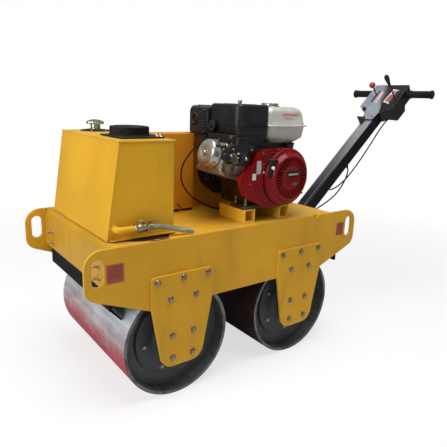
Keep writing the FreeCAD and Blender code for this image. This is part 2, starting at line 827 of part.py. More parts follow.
def air_cleaner():
    outline = rectangle(air_cleaner_rear, air_cleaner_front, air_cleaner_far, air_cleaner_near, air_cleaner_radius)
    body = slab_xy(outline, air_cleaner_bottom, air_cleaner_top)
    rim = [edge for edge in body.Edges if edge.BoundBox.ZMin > air_cleaner_top - 1e-6]
    body = body.makeFillet(air_cleaner_radius - 6.0, rim)
    x = (air_cleaner_front + air_cleaner_rear) / 2
    y = (air_cleaner_far + air_cleaner_near) / 2
    foot = V(x, y, air_cleaner_top - 1.0)
    knob = round_bar(foot, V(x, y, air_cleaner_top + air_cleaner_knob), air_cleaner_knob_dia)
    return body.fuse(knob).removeSplitter()


engine["air_cleaner"] = air_cleaner()


def muffler():
    outline = rectangle(muffler_rear, muffler_front, muffler_bottom, muffler_top, muffler_radius)
    body = slab_xz(outline, muffler_far, muffler_near)
    tip = V(muffler_front + outlet_reach, outlet_y, outlet_z)
    outlet = round_bar(V(muffler_front - 1.0, outlet_y, outlet_z), tip, outlet_dia)
    hole = round_bar(V(muffler_front - outlet_reach, outlet_y, outlet_z), tip, outlet_bore_dia)
    return body.fuse(outlet).cut(hole).removeSplitter()


def exhaust_elbow():
    """Pipe out of the cylinder's far face, bent up into the muffler's floor."""
    corner = V(exhaust_x, exhaust_y, exhaust_z)
    port = disc(exhaust_x, exhaust_y, cylinder_far, exhaust_z, exhaust_dia)
    riser = round_bar(corner, V(exhaust_x, exhaust_y, muffler_bottom), exhaust_dia)
    return port.fuse([riser, Part.makeSphere(exhaust_dia / 2, corner)]).removeSplitter()


engine["muffler"] = muffler()
engine["exhaust_elbow"] = exhaust_elbow()


def carburettor():
    """Body on the head's near side, with an elbow up to the air cleaner."""
    outline = [(177.0, 98.0, 4.0), (241.0, 52.0, 4.0), (241.0, elbow_foot + 2.0, 6.0), (177.0, elbow_foot + 2.0, 6.0)]
    body = slab_xz(outline, cylinder_near, cylinder_near + carburettor_depth)
    elbow = box(elbow_rear, elbow_front, cylinder_near, cylinder_near + elbow_depth, elbow_foot, air_cleaner_bottom)
    return body.fuse(elbow).removeSplitter()


engine["carburettor"] = carburettor()

# ---- throttle cable: from the carburettor's elbow over the cylinder, in a loop before the
# engine, down to the deck and into a block behind the front rail ----
block_rise = rail_level - rail_size + block_height / 2
throttle_end = V(125, -278, block_rise)
throttle_steps = [(198, -88, 148), (198, -115, 148), (200, -150, 150), (211, -185, 153), (239, -211, 149),
                  (276, -227, 123), (310, -240, 85), (335, -250, 45), (343, -256, 7), (337, -260, -31),
                  (315, -263, -66), (282, -266, -97), (242, -269, -122), (203, -273, -142), (171, -277, -155),
                  (147, -278, -160)]
throttle_points = [V(*step) for step in throttle_steps] + [throttle_end]
engine["throttle_cable"] = hose(throttle_points, throttle_cable_dia, "throttle_cable")
engine["cable_block"] = box(throttle_end.x - block_length, throttle_end.x, throttle_end.y - block_width / 2,
                            throttle_end.y + block_width / 2, block_rise - block_height / 2,
                            block_rise + block_height / 2)
for name, shape in engine.items():
    shape.translate(crank)
    nodes[name] = shape


# ---- hydraulic pump under the deck, below the belt guard's front half ----
def hydraulic_pump():
    half = pump_size / 2
    body = box(pump_x - half, pump_x + half, pump_y - half, pump_y + half, deck_under - pump_height, deck_under)
    near = pump_y + half
    nose = disc(pump_x, near, near + pump_nose_length, deck_under - pump_height / 2, pump_nose_dia)
    return body.fuse(nose).removeSplitter()


nodes["hydraulic_pump"] = hydraulic_pump()


# ---- handle bracket: two lugs on the rear panel with the pivot pin and a stop bar ----
def handle_bracket():
    face = deck_rear - bracket_plate
    base = box(face, deck_rear, -bracket_half_width, bracket_half_width, pivot.z - bracket_below,
               pivot.z + bracket_above)
    end = pivot.x - lug_reach
    outline = [(face, pivot.z - 50.0, 0), (face, pivot.z + 60.0, 0), (pivot.x - 10.0, pivot.z + 44.0, 20.0),
               (end, pivot.z + 26.0, 14.0), (end, pivot.z - 18.0, 14.0), (pivot.x - 10.0, pivot.z - 44.0, 30.0)]
    inner = column_size / 2 + lug_gap
    lug = slab_xz(outline, inner, inner + lug_plate)
    reach = inner + lug_plate + pivot_pin_head
    pin = disc(pivot.x, -reach, reach, pivot.z, pivot_pin_dia)
    stop = on_handle(stop_bar_up, -column_size / 2 - stop_gap - stop_bar_dia / 2)
    return base.fuse([lug, mirrored(lug), pin, disc(stop.x, -inner, inner, stop.z, stop_bar_dia)]).removeSplitter()


nodes["handle_bracket"] = handle_bracket()


# ---- handle column: a square tube with a boss across its foot ----
def handle_column():
    half = column_size / 2
    inside = half - column_wall
    outside = slab_handle(rectangle(0, column_end, -half, half), -half, half)
    hollow = slab_handle(rectangle(column_solid_foot, column_end, -inside, inside), -inside, inside)
    boss = disc(pivot.x, -half, half, pivot.z, column_size)
    bore = disc(pivot.x, -half, half, pivot.z, pivot_pin_dia + 2 * pivot_clearance)
    return outside.fuse(boss).removeSplitter().cut([hollow, bore])


nodes["handle_column"] = handle_column()


# ---- console: a box across the column's end, narrowed at its foot, with a cable box below ----
def console_box():
    top = column_size / 2 + console_rise
    outline = [(column_end, -console_drop, 0), (console_end - 28.0, -console_drop, 12.0),
               (console_end - 4.0, 14.0, 6.0), (console_end, top, 3.0), (column_end, top, 0)]
    body = slab_handle(outline, -console_half_width, console_half_width)
    waist = column_size / 2 + 10.0
    for sign in (-1, 1):
        y = sign * console_half_width
        cut = [(column_end, y, 0), (column_end, sign * waist, 0), (column_end + console_corner, y, 0)]
        body = body.cut(slab_handle_face(cut, -console_half_width, console_half_width))
    under = [(console_box_start, -console_box_drop, 8.0), (console_box_end, -console_box_drop, 8.0),
             (console_box_end + 16.0, 1.0 - console_drop, 0), (console_box_start, 1.0 - console_drop, 0)]
    return body.fuse(slab_handle(under, 6.0 - console_half_width, console_half_width)).removeSplitter()


nodes["console_box"] = console_box()


def console_plate():
    """Cover plate of the console, with two lever slots and a foot bent down to the column."""
    low = column_size / 2 + console_rise
    foot = plate_foot_half_width
    end = console_end + 1.0
    side_y = plate_half_width
    outline = [(plate_foot, 8.0 - foot, 6.0), (plate_waist, -foot, 6.0), (console_box_start, -side_y, 8.0),
               (end, -side_y, 6.0), (end, side_y, 6.0), (console_box_start, side_y, 8.0),
               (plate_waist, foot, 6.0), (plate_foot, foot - 8.0, 6.0)]
    plate = slab_handle_face(outline, low, low + plate_thick)
    half = lever_slot_width / 2
    for y in (vibration_lever_y, travel_lever_y):
        slot = rectangle(lever_slot_low, lever_slot_high, y - half, y + half, half - 0.001)
        plate = plate.cut(slab_handle_face(slot, low - 1.0, low + plate_thick + 1.0))
    pad = rectangle(plate_foot + 4.0, column_end - 10.0, -24.0, 24.0)
    return plate.fuse(slab_handle_face(pad, column_size / 2, low)).removeSplitter()


nodes["console_plate"] = console_plate()


# ---- handlebar: a stub on each side of the console, with a flanged rubber grip ----
def bar_piece(y_from, y_to, diameter):
    return round_bar(on_handle(bar_up, bar_above, y_from), on_handle(bar_up, bar_above, y_to), diameter)


stub = bar_piece(console_half_width, grip_end - 4.0, bar_dia)
nodes["handlebar"] = Part.makeCompound([stub, mirrored(stub)])
grip = bar_piece(grip_start, grip_end, grip_dia)
for y in (grip_start, grip_end - grip_flange):
    grip = grip.fuse(bar_piece(y, y + grip_flange, grip_flange_dia))
grip = grip.removeSplitter().cut(stub)
nodes["grip_left"] = grip
nodes["grip_right"] = mirrored(grip)

# ---- levers: bent rods out of the slots, a round knob and a pear-shaped one ----
slot_floor = column_size / 2 + console_rise
foot_at = on_handle(vibration_lever_up, slot_floor, vibration_lever_y)
knob_at = on_handle(vibration_lever_up, slot_floor + vibration_lever_length, vibration_lever_y)
rod = round_bar(foot_at, knob_at, lever_rod_dia)
nodes["vibration_lever"] = rod.fuse(Part.makeSphere(vibration_knob_dia / 2, knob_at)).removeSplitter()

foot_at = on_handle(travel_lever_up, slot_floor, travel_lever_y)
neck_at = on_handle(travel_lever_up + travel_lever_lean, slot_floor + travel_lever_length, travel_lever_y)
rod = round_bar(foot_at, neck_at, lever_rod_dia)
knob_radius = travel_knob_dia / 2
knob_profile = [(-2.0, travel_knob_neck_dia / 2), (travel_knob_length * 0.45, knob_radius - 2.5),
                (travel_knob_length * 0.75, knob_radius), (travel_knob_length * 0.92, knob_radius - 3.0),
                (travel_knob_length, knob_radius / 2)]
knob = turned(knob_profile, neck_at, neck_at - foot_at)
nodes["travel_lever"] = rod.fuse(knob).removeSplitter().cut(nodes["console_box"])


def throttle_lever():
    """Small lever on a clamp at the far side of the column's face."""
    face = column_size / 2
    start = throttle_clamp_up
    end = start + throttle_clamp_length
    clamp = [(start, face, 0), (end, face, 0), (end, face + 14.0, 4.0), (start, face + 14.0, 4.0)]
    arm = rectangle(start - 8.0, end, face + 6.0, face + 12.0, 2.9)
    lever = slab_handle(clamp, -face - 4.0, -face + 16.0)
    return lever.fuse(slab_handle(arm, -face - 24.0, -face + 4.0)).removeSplitter()


nodes["throttle_lever"] = throttle_lever()

# ---- cables: one that stays on the handle, one from the handle to the frame ----
control_places = [(console_box_start, -38, 48), (802, -38, 47), (742, -43, 44), (676, -59, 38), (610, -72, 32),
                  (545, -84, 26), (482, -91, 21), (424, -92, 17), (374, -84, 14), (334, -70, 13), (304, -52, 12.5),
                  (304, -column_size / 2, 12.5)]
control_points = [on_handle(up, out, y) for up, out, y in control_places]
nodes["control_cable"] = hose(control_points, cable_dia, "control_cable")

gland_face = V(deck_rear - gland_length, gland_y, deck_height - gland_depth)
travel_steps = [(-374, 27.5, 256), (-360, 30, 228), (-331, 35, 192), (-289, 42, 160), (-239, 49, 135),
                (-184, 57, 116), (-126, 66, 101), (-68, 76, 89), (-17, 86, 77)]
travel_points = [on_handle(462, -column_size / 2, 27), on_handle(462, -column_size / 2 - 16, 27)]
travel_points += [pivot + V(*step) for step in travel_steps]
travel_points += [gland_face - V(35, 0, 0), gland_face]
nodes["travel_cable"] = hose(travel_points, cable_dia, "travel_cable")
nodes["cable_gland"] = round_bar(V(deck_rear, gland_y, gland_face.z), gland_face, gland_dia)

# ---- into the files, with the origin below the middle of the whole machine ----
rear_end = min(nodes[name].optimalBoundingBox().XMin for name in ("console_plate", "console_box", "grip_left"))
middle_x = (side_end + rear_end) / 2
print("length", round(side_end - rear_end, 1), "middle", round(middle_x, 3), "rear", round(rear_end, 2))
for name, shape in nodes.items():
    shape = shape.copy()
    shape.translate(V(-middle_x, 0, 0))
    shape.exportStep("parts/" + name + ".step")
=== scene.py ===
import bmesh
import bpy
import math
from mathutils import Matrix, Vector


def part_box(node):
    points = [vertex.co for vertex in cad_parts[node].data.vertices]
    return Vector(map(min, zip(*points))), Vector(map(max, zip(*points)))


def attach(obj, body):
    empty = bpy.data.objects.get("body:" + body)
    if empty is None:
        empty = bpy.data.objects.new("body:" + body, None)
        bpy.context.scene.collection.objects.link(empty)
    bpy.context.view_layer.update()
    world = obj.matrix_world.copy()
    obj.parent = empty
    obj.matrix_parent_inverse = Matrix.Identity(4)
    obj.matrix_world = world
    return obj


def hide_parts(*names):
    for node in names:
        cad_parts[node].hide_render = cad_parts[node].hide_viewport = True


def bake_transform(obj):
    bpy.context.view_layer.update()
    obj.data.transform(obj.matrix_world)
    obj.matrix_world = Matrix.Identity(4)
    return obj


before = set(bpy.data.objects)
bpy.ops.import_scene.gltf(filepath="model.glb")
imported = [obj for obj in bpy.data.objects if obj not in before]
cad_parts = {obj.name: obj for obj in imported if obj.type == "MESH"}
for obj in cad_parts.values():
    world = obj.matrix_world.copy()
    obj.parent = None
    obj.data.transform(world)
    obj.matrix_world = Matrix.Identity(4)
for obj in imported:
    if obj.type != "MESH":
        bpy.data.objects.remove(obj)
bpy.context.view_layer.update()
X, Y, Z = Vector((1, 0, 0)), Vector((0, 1, 0)), Vector((0, 0, 1))

# ======== drums ========
# Each drum is a rolled and seam-welded steel tube with a thick end plate set in from either
# rim. Its face is grey steel, painted red below a wavy line as a painted reflection of a red
# floor, and the front drum has a bluish painted highlight near its top.

SIDES = (1, -1)
# Each drum's steel colour, the colour and height of the painted red reflection below a wavy line, and the
# share of painted highlight on top.
DRUM_LOOKS = {
    "front": {"worn": (0.50, 0.51, 0.54), "red_reflection": (0.30, 0.036, 0.047), "line": 0.222, "painted_highlight": 0.8},
    "rear": {"worn": (0.045, 0.028, 0.028), "red_reflection": (0.030, 0.014, 0.014), "line": 0.40, "painted_highlight": 0.0},
}
# Bluish colour of the painted highlight on the front drum's upper face.
PAINTED_HIGHLIGHT_COLOUR = (0.78, 0.83, 0.97)
END_PLATE = (0.060, 0.066, 0.070)
RIM_STEEL, RIM_STAIN = (0.16, 0.165, 0.17), (0.075, 0.08, 0.08)
RIM_THICK = 0.012
END_PLATE_IN = 0.048
CREASE = math.radians(35)


def socket(tree, target, value):
    """Joins a socket to another one, or sets it."""
    if isinstance(value, bpy.types.NodeSocket):
        tree.links.new(value, target)
    elif target.type == "RGBA":
        target.default_value = (*value, 1)
    else:
        target.default_value = value


def new_node(tree, kind, *values):
    """Shader node with its first sockets joined or set."""
    made = tree.nodes.new("ShaderNode" + kind)
    for target, value in zip(made.inputs, values):
        socket(tree, target, value)
    return made


def math_node(tree, operation, first, second=0.0):
    made = new_node(tree, "Math", first, second)
    made.operation = operation
    return made.outputs[0]


def plus(tree, first, second):
    return math_node(tree, "ADD", first, second)


def times(tree, first, second):
    return math_node(tree, "MULTIPLY", first, second)


def ramp(tree, value, low, high, to_low=0.0, to_high=1.0):
    """Carries a value from one range smoothly into another."""
    made = new_node(tree, "MapRange", value, low, high, to_low, to_high)
    made.interpolation_type = "SMOOTHSTEP"
    return made.outputs[0]


def mix(tree, amount, first, second, kind="MIX"):
    """Lays the second colour over the first one."""
    made = new_node(tree, "Mix", amount)
    made.data_type = "RGBA"
    made.blend_type = kind
    socket(tree, made.inputs[6], first)
    socket(tree, made.inputs[7], second)
    return made.outputs[2]


def cloudy(tree, value, first, second, low=0.35, high=0.7):
    """Colour that goes from one to another as a mottled value rises."""
    return mix(tree, ramp(tree, value, low, high), first, second)


def shade(colour, factor, lift=0.0):
    """Colour made lighter or darker."""
    return tuple(channel * factor + lift for channel in colour)


def object_axes(tree):
    """X, Y and Z of a point of the surface, in metres."""
    place = new_node(tree, "TexCoord")
    return new_node(tree, "SeparateXYZ", place.outputs["Object"]).outputs


def mottle(tree, scale, detail=4.0, stretch=(1, 1, 1), roughness=0.55):
    """Cloudy value that is fixed to the metal."""
    mapping = new_node(tree, "Mapping", new_node(tree, "TexCoord").outputs["Object"])
    mapping.inputs["Scale"].default_value = stretch
    noise = new_node(tree, "TexNoise", mapping.outputs[0])
    for label, value in (("Scale", scale), ("Detail", detail), ("Roughness", roughness)):
        noise.inputs[label].default_value = value
    return noise.outputs[0]


def softened(tree, width):
    """Normal of the surface as if its edges were rounded off."""
    bevel = new_node(tree, "Bevel", width)
    bevel.samples = 4
    return bevel.outputs[0]


def new_finish(name, roughness, metal=0.0, specular=0.5, coat=0.0, coat_roughness=0.03, clear=0.0):
    """Material with one shader; the rest of its nodes are joined on afterwards."""
    finish = bpy.data.materials.new(name)
    finish.use_nodes = True
    shader = finish.node_tree.nodes["Principled BSDF"]
    for label, value in (("Roughness", roughness), ("Metallic", metal), ("Specular IOR Level", specular),
                         ("Coat Weight", coat), ("Coat Roughness", coat_roughness),
                         ("Transmission Weight", clear)):
        shader.inputs[label].default_value = value
    return finish, finish.node_tree, shader


def surface(tree, shader, colour, rough, height, depth, rounding=0.0):
    """Joins a finish's colour, roughness and relief to its shader; None keeps the shader's own roughness."""
    socket(tree, shader.inputs["Base Color"], colour)
    if rough is not None:
        socket(tree, shader.inputs["Roughness"], rough)
    bump = new_node(tree, "Bump")
    bump.inputs["Distance"].default_value = depth
    socket(tree, bump.inputs["Height"], height)
    if rounding:
        socket(tree, bump.inputs["Normal"], softened(tree, rounding))
    socket(tree, shader.inputs["Normal"], bump.outputs[0])


def drum_steel(name, centre, radius, look):
    """Worn rolling face outside, painted red low down as a painted reflection and bluish on top as a painted
    highlight; dark end plates and rim inside.
    """
    finish, tree, shader = new_finish(name, 0.45, 0.25)
    across, along, height = object_axes(tree)
    across = math_node(tree, "SUBTRACT", across, centre.x)
    above = math_node(tree, "SUBTRACT", height, centre.z)
    squares = plus(tree, math_node(tree, "POWER", across, 2.0), math_node(tree, "POWER", above, 2.0))
    distance = math_node(tree, "SQRT", squares)
    clouds = mottle(tree, 9.0, 7.0, (1, 0.8, 1), 0.66)
    patches = mottle(tree, 26.0, 5.0, (1, 0.35, 1), 0.6)
    wavy = plus(tree, height, times(tree, math_node(tree, "SUBTRACT", clouds, 0.5), 0.17))
    # Below a wavy height line the face is painted red: a painted reflection of a red floor.
    red_reflection = ramp(tree, wavy, look["line"] + 0.070, look["line"] - 0.075)
    worn = cloudy(tree, patches, look["worn"], shade(look["worn"], 0.68))
    # Bluish painted highlight on the upper face, towards the near end.
    painted_sheen = times(tree, ramp(tree, along, 0.08, 0.27), ramp(tree, above, 0.04, 0.15, 0.0, look["painted_highlight"]))
    worn = mix(tree, painted_sheen, worn, PAINTED_HIGHLIGHT_COLOUR)
    reflected_red = cloudy(tree, patches, look["red_reflection"], shade(look["red_reflection"], 1.55), high=0.65)
    streaks = ramp(tree, mottle(tree, 60.0, 3.0, (1, 0.05, 1)), 0.3, 0.7, 0.86, 1.12)
    face = mix(tree, 1.0, mix(tree, red_reflection, worn, reflected_red), streaks, "MULTIPLY")
    inside = cloudy(tree, clouds, END_PLATE, shade(END_PLATE, 1.7))
    rim = cloudy(tree, patches, RIM_STEEL, RIM_STAIN, 0.4)
    at_rim = ramp(tree, distance, radius - RIM_THICK - 0.0005, radius - RIM_THICK + 0.0005)
    outside = ramp(tree, distance, radius - 0.0016, radius - 0.0008)
    colour = mix(tree, outside, mix(tree, at_rim, inside, rim), face)
    rough = plus(tree, ramp(tree, patches, 0.3, 0.75, 0.34, 0.62), times(tree, red_reflection, 0.12))
    pits = plus(tree, mottle(tree, 160.0, 3.0), times(tree, patches, 2.0))
    surface(tree, shader, colour, rough, pits, 0.0006, 0.0015)
    return finish


def dress(node, finish):
    """Gives a CAD node its material."""
    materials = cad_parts[node].data.materials
    materials.clear()
    materials.append(finish)


def mesh_object(name, work, finish):
    """Object from bmesh work, smooth but for its creases."""
    mesh = bpy.data.meshes.new(name)
    bmesh.ops.recalc_face_normals(work, faces=work.faces)
    work.to_mesh(mesh)
    work.free()
    mesh.materials.append(finish)
    mesh.shade_smooth()
    mesh.set_sharp_from_angle(angle=CREASE)
    made = bpy.data.objects.new(name, mesh)
    bpy.context.scene.collection.objects.link(made)
    return made


def make_piece(name, work, finish, stands_for=(), body="chassis"):
    """Finished piece that rides on its body."""
    piece = mesh_object(name, work, finish)
    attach(piece, body)
    if stands_for:
        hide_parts(*stands_for)


def polar(radius, angle, along=0.0):
    """Offset by a radius and an angle, along being along Z."""
    return Vector((radius * math.cos(angle), radius * math.sin(angle), along))


def full_turn(count, start=0.0):
    """Angles of a number of like things round a circle."""
    return [start + 2 * math.pi * step / count for step in range(count)]


def pointing(place, axis, spin=0.0):
    """Matrix that stands Z along an axis at a place."""
    turn = Z.rotation_difference(axis).to_matrix().to_4x4()
    return Matrix.Translation(place) @ turn @ Matrix.Rotation(spin, 4, "Z")


def skin(work, rings, closed=True):
    """Faces from each ring of vertices to the next; a ring of one vertex makes a tip."""
    for lower, upper in zip(rings, rings[1:]):
        count = max(len(lower), len(upper))
        for step in range(count if closed else count - 1):
            after = (step + 1) % count
            corners = (lower[step % len(lower)], lower[after % len(lower)],
                       upper[after % len(upper)], upper[step % len(upper)])
            if len(set(corners)) > 2:
                work.faces.new(list(dict.fromkeys(corners)))


def ring_bead(work, centre, axis, radius, thick, ripples=90):
    """Weld bead round a circle, with the ripples of its runs."""
    stand = pointing(centre, axis)
    rings = []
    for step, angle in enumerate(full_turn(ripples * 2)):
        swell = thick * (1.0 if step % 2 else 0.78)
        rings.append([])
        for turn in full_turn(8):
            place = polar(radius + swell * math.cos(turn), angle, swell * math.sin(turn))
            rings[-1].append(work.verts.new(stand @ place))
    skin(work, rings + rings[:1])


DRUM_AXES = {}
for place in ("front", "rear"):
    low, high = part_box(place + "_drum")
    centre = DRUM_AXES[place] = (low + high) / 2
    radius = (high.z - low.z) / 2
    dress(place + "_drum", drum_steel(place + "_drum_steel", centre, radius, DRUM_LOOKS[place]))
    welds = bmesh.new()
    for side in SIDES:
        plate = Vector((centre.x, side * (high.y - END_PLATE_IN), centre.z))
        ring_bead(welds, plate, Y, radius - RIM_THICK - 0.0015, 0.0035)
    weld_grey, tree, shader = new_finish(place + "_drum_weld", 0.55, 0.3)
    dull = cloudy(tree, mottle(tree, 60.0), (0.05, 0.05, 0.05), (0.10, 0.085, 0.07), 0.4)
    socket(tree, shader.inputs["Base Color"], dull)
    make_piece(place + "_drum_end_welds", welds, weld_grey, body=place + "_drum")

MIDDLE = (DRUM_AXES["front"].x + DRUM_AXES["rear"].x) / 2

# ======== drum hubs and axles ========
# A cast hub is bolted over the hole in each end plate and painted dark grey. The stub axle
# that it turns on is bright turned steel, and its square flange is bolted inside the hanger.

HUB_PITCH = 0.120
HUB_BOLTS = 6
HUB_TURN = {"front": -0.1047, "rear": 0.5236}
HUB_FLANGE_IN = 0.026
HUB_RIM = [(-0.0005, 0.1525), (0.0035, 0.1500), (0.0035, 0.1440), (-0.0005, 0.1425)]
HUB_FILLET = [(-0.0005, 0.0890), (0.0050, 0.0790), (0.0120, 0.0752)]
ENAMEL_DUST = (0.27, 0.25, 0.21)


def edge_mask(tree, width):
    """How near a surface point is to a hard edge: 0 on the flat, up to 1 on the edge."""
    dot = new_node(tree, "VectorMath", softened(tree, width), new_node(tree, "NewGeometry").outputs["Normal"])
    dot.operation = "DOT_PRODUCT"
    return ramp(tree, dot.outputs["Value"], 0.995, 0.86)


def facing_up(tree, low, high=0.95):
    """0 on walls, up to 1 on faces that look up."""
    normal = new_node(tree, "NewGeometry").outputs["Normal"]
    return ramp(tree, new_node(tree, "SeparateXYZ", normal).outputs["Z"], low, high)


def dark_enamel(name, colour, roughness, chipped=(0.16, 0.15, 0.14), edge=0.0012, amount=0.5, dust=0.25,
                specular=0.3):
    """Dark paint on steel: chipped on its edges and dusty on top."""
    finish, tree, shader = new_finish(name, roughness, specular=specular)
    clouds = mottle(tree, 11.0, 5.0)
    fine = mottle(tree, 190.0, 3.0)
    body = cloudy(tree, clouds, colour, shade(colour, 1.45, 0.002))
    settled = times(tree, facing_up(tree, 0.2), ramp(tree, clouds, 0.35, 0.75, 0.2, dust))
    body = mix(tree, settled, body, ENAMEL_DUST)
    chips = times(tree, edge_mask(tree, edge), ramp(tree, fine, 0.42, 0.60, 0.0, amount))
    rough = ramp(tree, clouds, 0.3, 0.75, roughness * 0.85, min(1.0, roughness * 1.25))
    surface(tree, shader, mix(tree, chips, body, chipped), rough, fine, 0.00025, edge)
    return finish


def steel_finish(name, colour, roughness, metal, dulled=(0.25, 0.19, 0.14), amount=0.35):
    """Bare or plated steel that has dulled in patches."""
    finish, tree, shader = new_finish(name, roughness, metal)
    patches = mottle(tree, 90.0, 4.0)
    dirt = times(tree, ramp(tree, patches, 0.48, 0.72), amount)
    rough = ramp(tree, patches, 0.3, 0.8, roughness * 0.8, min(1.0, roughness * 1.7))
    surface(tree, shader, mix(tree, dirt, colour, dulled), rough, mottle(tree, 700.0, 2.0), 0.0001)
    return finish


def side_polar(radius, angle, across=0.0):
    """Offset by a radius and an angle in the machine's side view, across being along Y."""
    return Vector((radius * math.cos(angle), across, radius * math.sin(angle)))


def turn_on(work, profile, place, axis, sides, spin=0.0, groove=None):
    """Revolves (distance along, radius) rows about an axis; a radius of 0 closes the end.

    A third number in a row is the depth of its grooves, and groove(step) is each step's share of it.
    """
    stand = pointing(place, axis, spin)
    rings = []
    for along, radius, *depth in profile:
        ring = []
        for step, angle in enumerate(full_turn(sides if radius else 1)):
            out = radius - (depth[0] * groove(step) if depth else 0.0)
            ring.append(work.verts.new(stand @ polar(out, angle, along)))
        rings.append(ring)
    skin(work, rings)
    return rings


def hex_bolt(work, seat, axis, across, spin, washer=0.0245):
    """Sloping flange, chamfered hexagon head and the domed middle of its face."""
    corner = across / math.sqrt(3)
    flange = [(-0.001, 0), (-0.001, washer / 2), (0.0007, washer / 2), (0.0032, corner * 0.98), (0.0032, 0)]
    head = [(0.0028, corner * 0.96), (0.0080, corner * 0.96), (0.0100, corner * 0.74), (0.0100, 0)]
    dome = [(0.0098, corner * 0.60), (0.0106, corner * 0.50), (0.0108, 0)]
    turn_on(work, flange, seat, axis, 28)
    turn_on(work, head, seat, axis, 6, spin)
    turn_on(work, dome, seat, axis, 20)


hub_enamel = dark_enamel("hub_enamel", (0.052, 0.059, 0.062), 0.5)
axle_steel = steel_finish("axle_steel", (0.33, 0.32, 0.31), 0.38, 0.8)
for place, centre in DRUM_AXES.items():
    dress(place + "_drum_hubs", hub_enamel)
    dress(place + "_axles", axle_steel)
    flange_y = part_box(place + "_drum_hubs")[1].y - HUB_FLANGE_IN
    bolts = bmesh.new()
    rims = bmesh.new()
    for side in SIDES:
        flange = Vector((centre.x, side * flange_y, centre.z))
        for angle in full_turn(HUB_BOLTS, HUB_TURN[place]):
            hex_bolt(bolts, flange + side_polar(HUB_PITCH, angle), Y * side, 0.016, angle, 0.021)
        turn_on(rims, HUB_RIM, flange, Y * side, 96)
        turn_on(rims, HUB_FILLET, flange, Y * side, 72)
    make_piece(place + "_hub_bolts", bolts, axle_steel, body=place + "_drum")
    make_piece(place + "_hub_rims", rims, hub_enamel, body=place + "_drum")

# ======== frame: side plates, deck, end panels and hangers ========
# Cut and folded steel plate, welded into a box with no bottom, with the hangers bolted to its
# sides. It is sprayed in one coat of yellow enamel, with paler yellow laid along its edges as a
# painted highlight.

# Paler yellow laid on the frame's edges: a painted highlight.
EDGE_HIGHLIGHT = (0.86, 0.56, 0.10)
DECK_DUST, SPLASH = (0.52, 0.36, 0.14), (0.16, 0.10, 0.04)


def yellow_enamel(name, colour, highlight_colour=EDGE_HIGHLIGHT, roughness=0.40, grime=(0.30, 0.17, 0.035),
                  grime_amount=0.4, edge=0.003):
    """Sprayed enamel: cloudy colour, faint orange peel, paler edges as a painted highlight, grime that has
    run down.
    """
    finish, tree, shader = new_finish(name, roughness, specular=0.15)
    clouds = mottle(tree, 3.2, 4.0)
    runs = mottle(tree, 9.0, 5.0, (1, 1, 0.28), 0.62)
    specks = mottle(tree, 230.0, 3.0)
    body = cloudy(tree, clouds, shade(colour, 0.90), shade(colour, 1.07), 0.3, 0.72)
    dirt = times(tree, ramp(tree, runs, 0.50, 0.80), grime_amount)
    body = mix(tree, dirt, body, grime)
    dust = times(tree, facing_up(tree, 0.8, 0.98), ramp(tree, mottle(tree, 14.0, 5.0), 0.46, 0.74, 0.0, 0.36))
    body = mix(tree, dust, body, DECK_DUST)
    body = mix(tree, times(tree, ramp(tree, specks, 0.71, 0.75), 0.5), body, SPLASH)
    # Paler colour along the edges: a painted highlight.
    edge_highlight = times(tree, edge_mask(tree, edge), ramp(tree, runs, 0.25, 0.6, 0.45, 0.95))
    rough = ramp(tree, clouds, 0.3, 0.75, roughness - 0.05, roughness + 0.08)
    rough = plus(tree, rough, times(tree, dirt, 0.3))
    peel = plus(tree, mottle(tree, 420.0, 2.0), times(tree, clouds, 5.0))
    surface(tree, shader, mix(tree, edge_highlight, body, highlight_colour), rough, peel, 0.00016, edge)
    return finish


frame_yellow = yellow_enamel("frame_yellow", (0.70, 0.365, 0.024))
for node in ("side_plate_left", "side_plate_right", "rear_panel",
             "hanger_front_left", "hanger_front_right", "hanger_rear_left", "hanger_rear_right"):
    dress(node, frame_yellow)
# The deck's yellow is a lighter copy of the frame's paint: painted light on its top.
dress("deck_plate", yellow_enamel("deck_yellow_painted_light", (0.742, 0.387, 0.0254)))
# The front panel's yellow is a darker copy of the same paint: painted shade.
dress("front_panel", yellow_enamel("front_yellow_painted_shade", (0.54, 0.285, 0.014)))
bolt_steel = steel_finish("bolt_steel", (0.33, 0.285, 0.20), 0.24, 0.95, (0.040, 0.028, 0.015), 0.85)


def bolt_group(name, seats, axis, across, washer, body="chassis"):
    """Bolts that point the same way, as one piece; each seat is a place and the turn of its head."""
    bolts = bmesh.new()
    for seat, spin in seats:
        hex_bolt(bolts, seat, axis, across, spin, washer)
    make_piece(name, bolts, bolt_steel, body=body)


# Nine bolts through each hanger, in rows from the frame's lower edge down to the axle.
HANGER_ROWS = ((0.459, (-0.1014, 0.0, 0.1014)), (0.389, (-0.051, 0.051)), (0.252, (-0.043, 0.043)),
               (0.167, (-0.0413, 0.0413)))
HANGER_BOLTS = [(across, height) for height, row in HANGER_ROWS for across in row]
for place, centre in DRUM_AXES.items():
    for side, hand in zip(SIDES, ("left", "right")):
        low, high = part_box("hanger_" + place + "_" + hand)
        face = high.y if side > 0 else low.y
        seats = [((centre.x + across, face, height), number * 0.7)
                 for number, (across, height) in enumerate(HANGER_BOLTS)]
        bolt_group("hanger_bolts_" + place + "_" + hand, seats, Y * side, 0.0175, 0.0245)

deck_low, deck_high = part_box("deck_plate")
side_low, side_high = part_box("side_plate_left")
panel_low, panel_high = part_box("front_panel")
rear_low, rear_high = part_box("rear_panel")
BEAD = 0.0034


def close_ends(work, rings):
    """Flat faces over the first ring and the last one."""
    work.faces.new(rings[0])
    work.faces.new(rings[-1])


def loft(work, outlines):
    """Closed skin through a row of outlines that have equal numbers of points."""
    rings = [[work.verts.new(point) for point in outline] for outline in outlines]
    skin(work, rings)
    close_ends(work, rings)


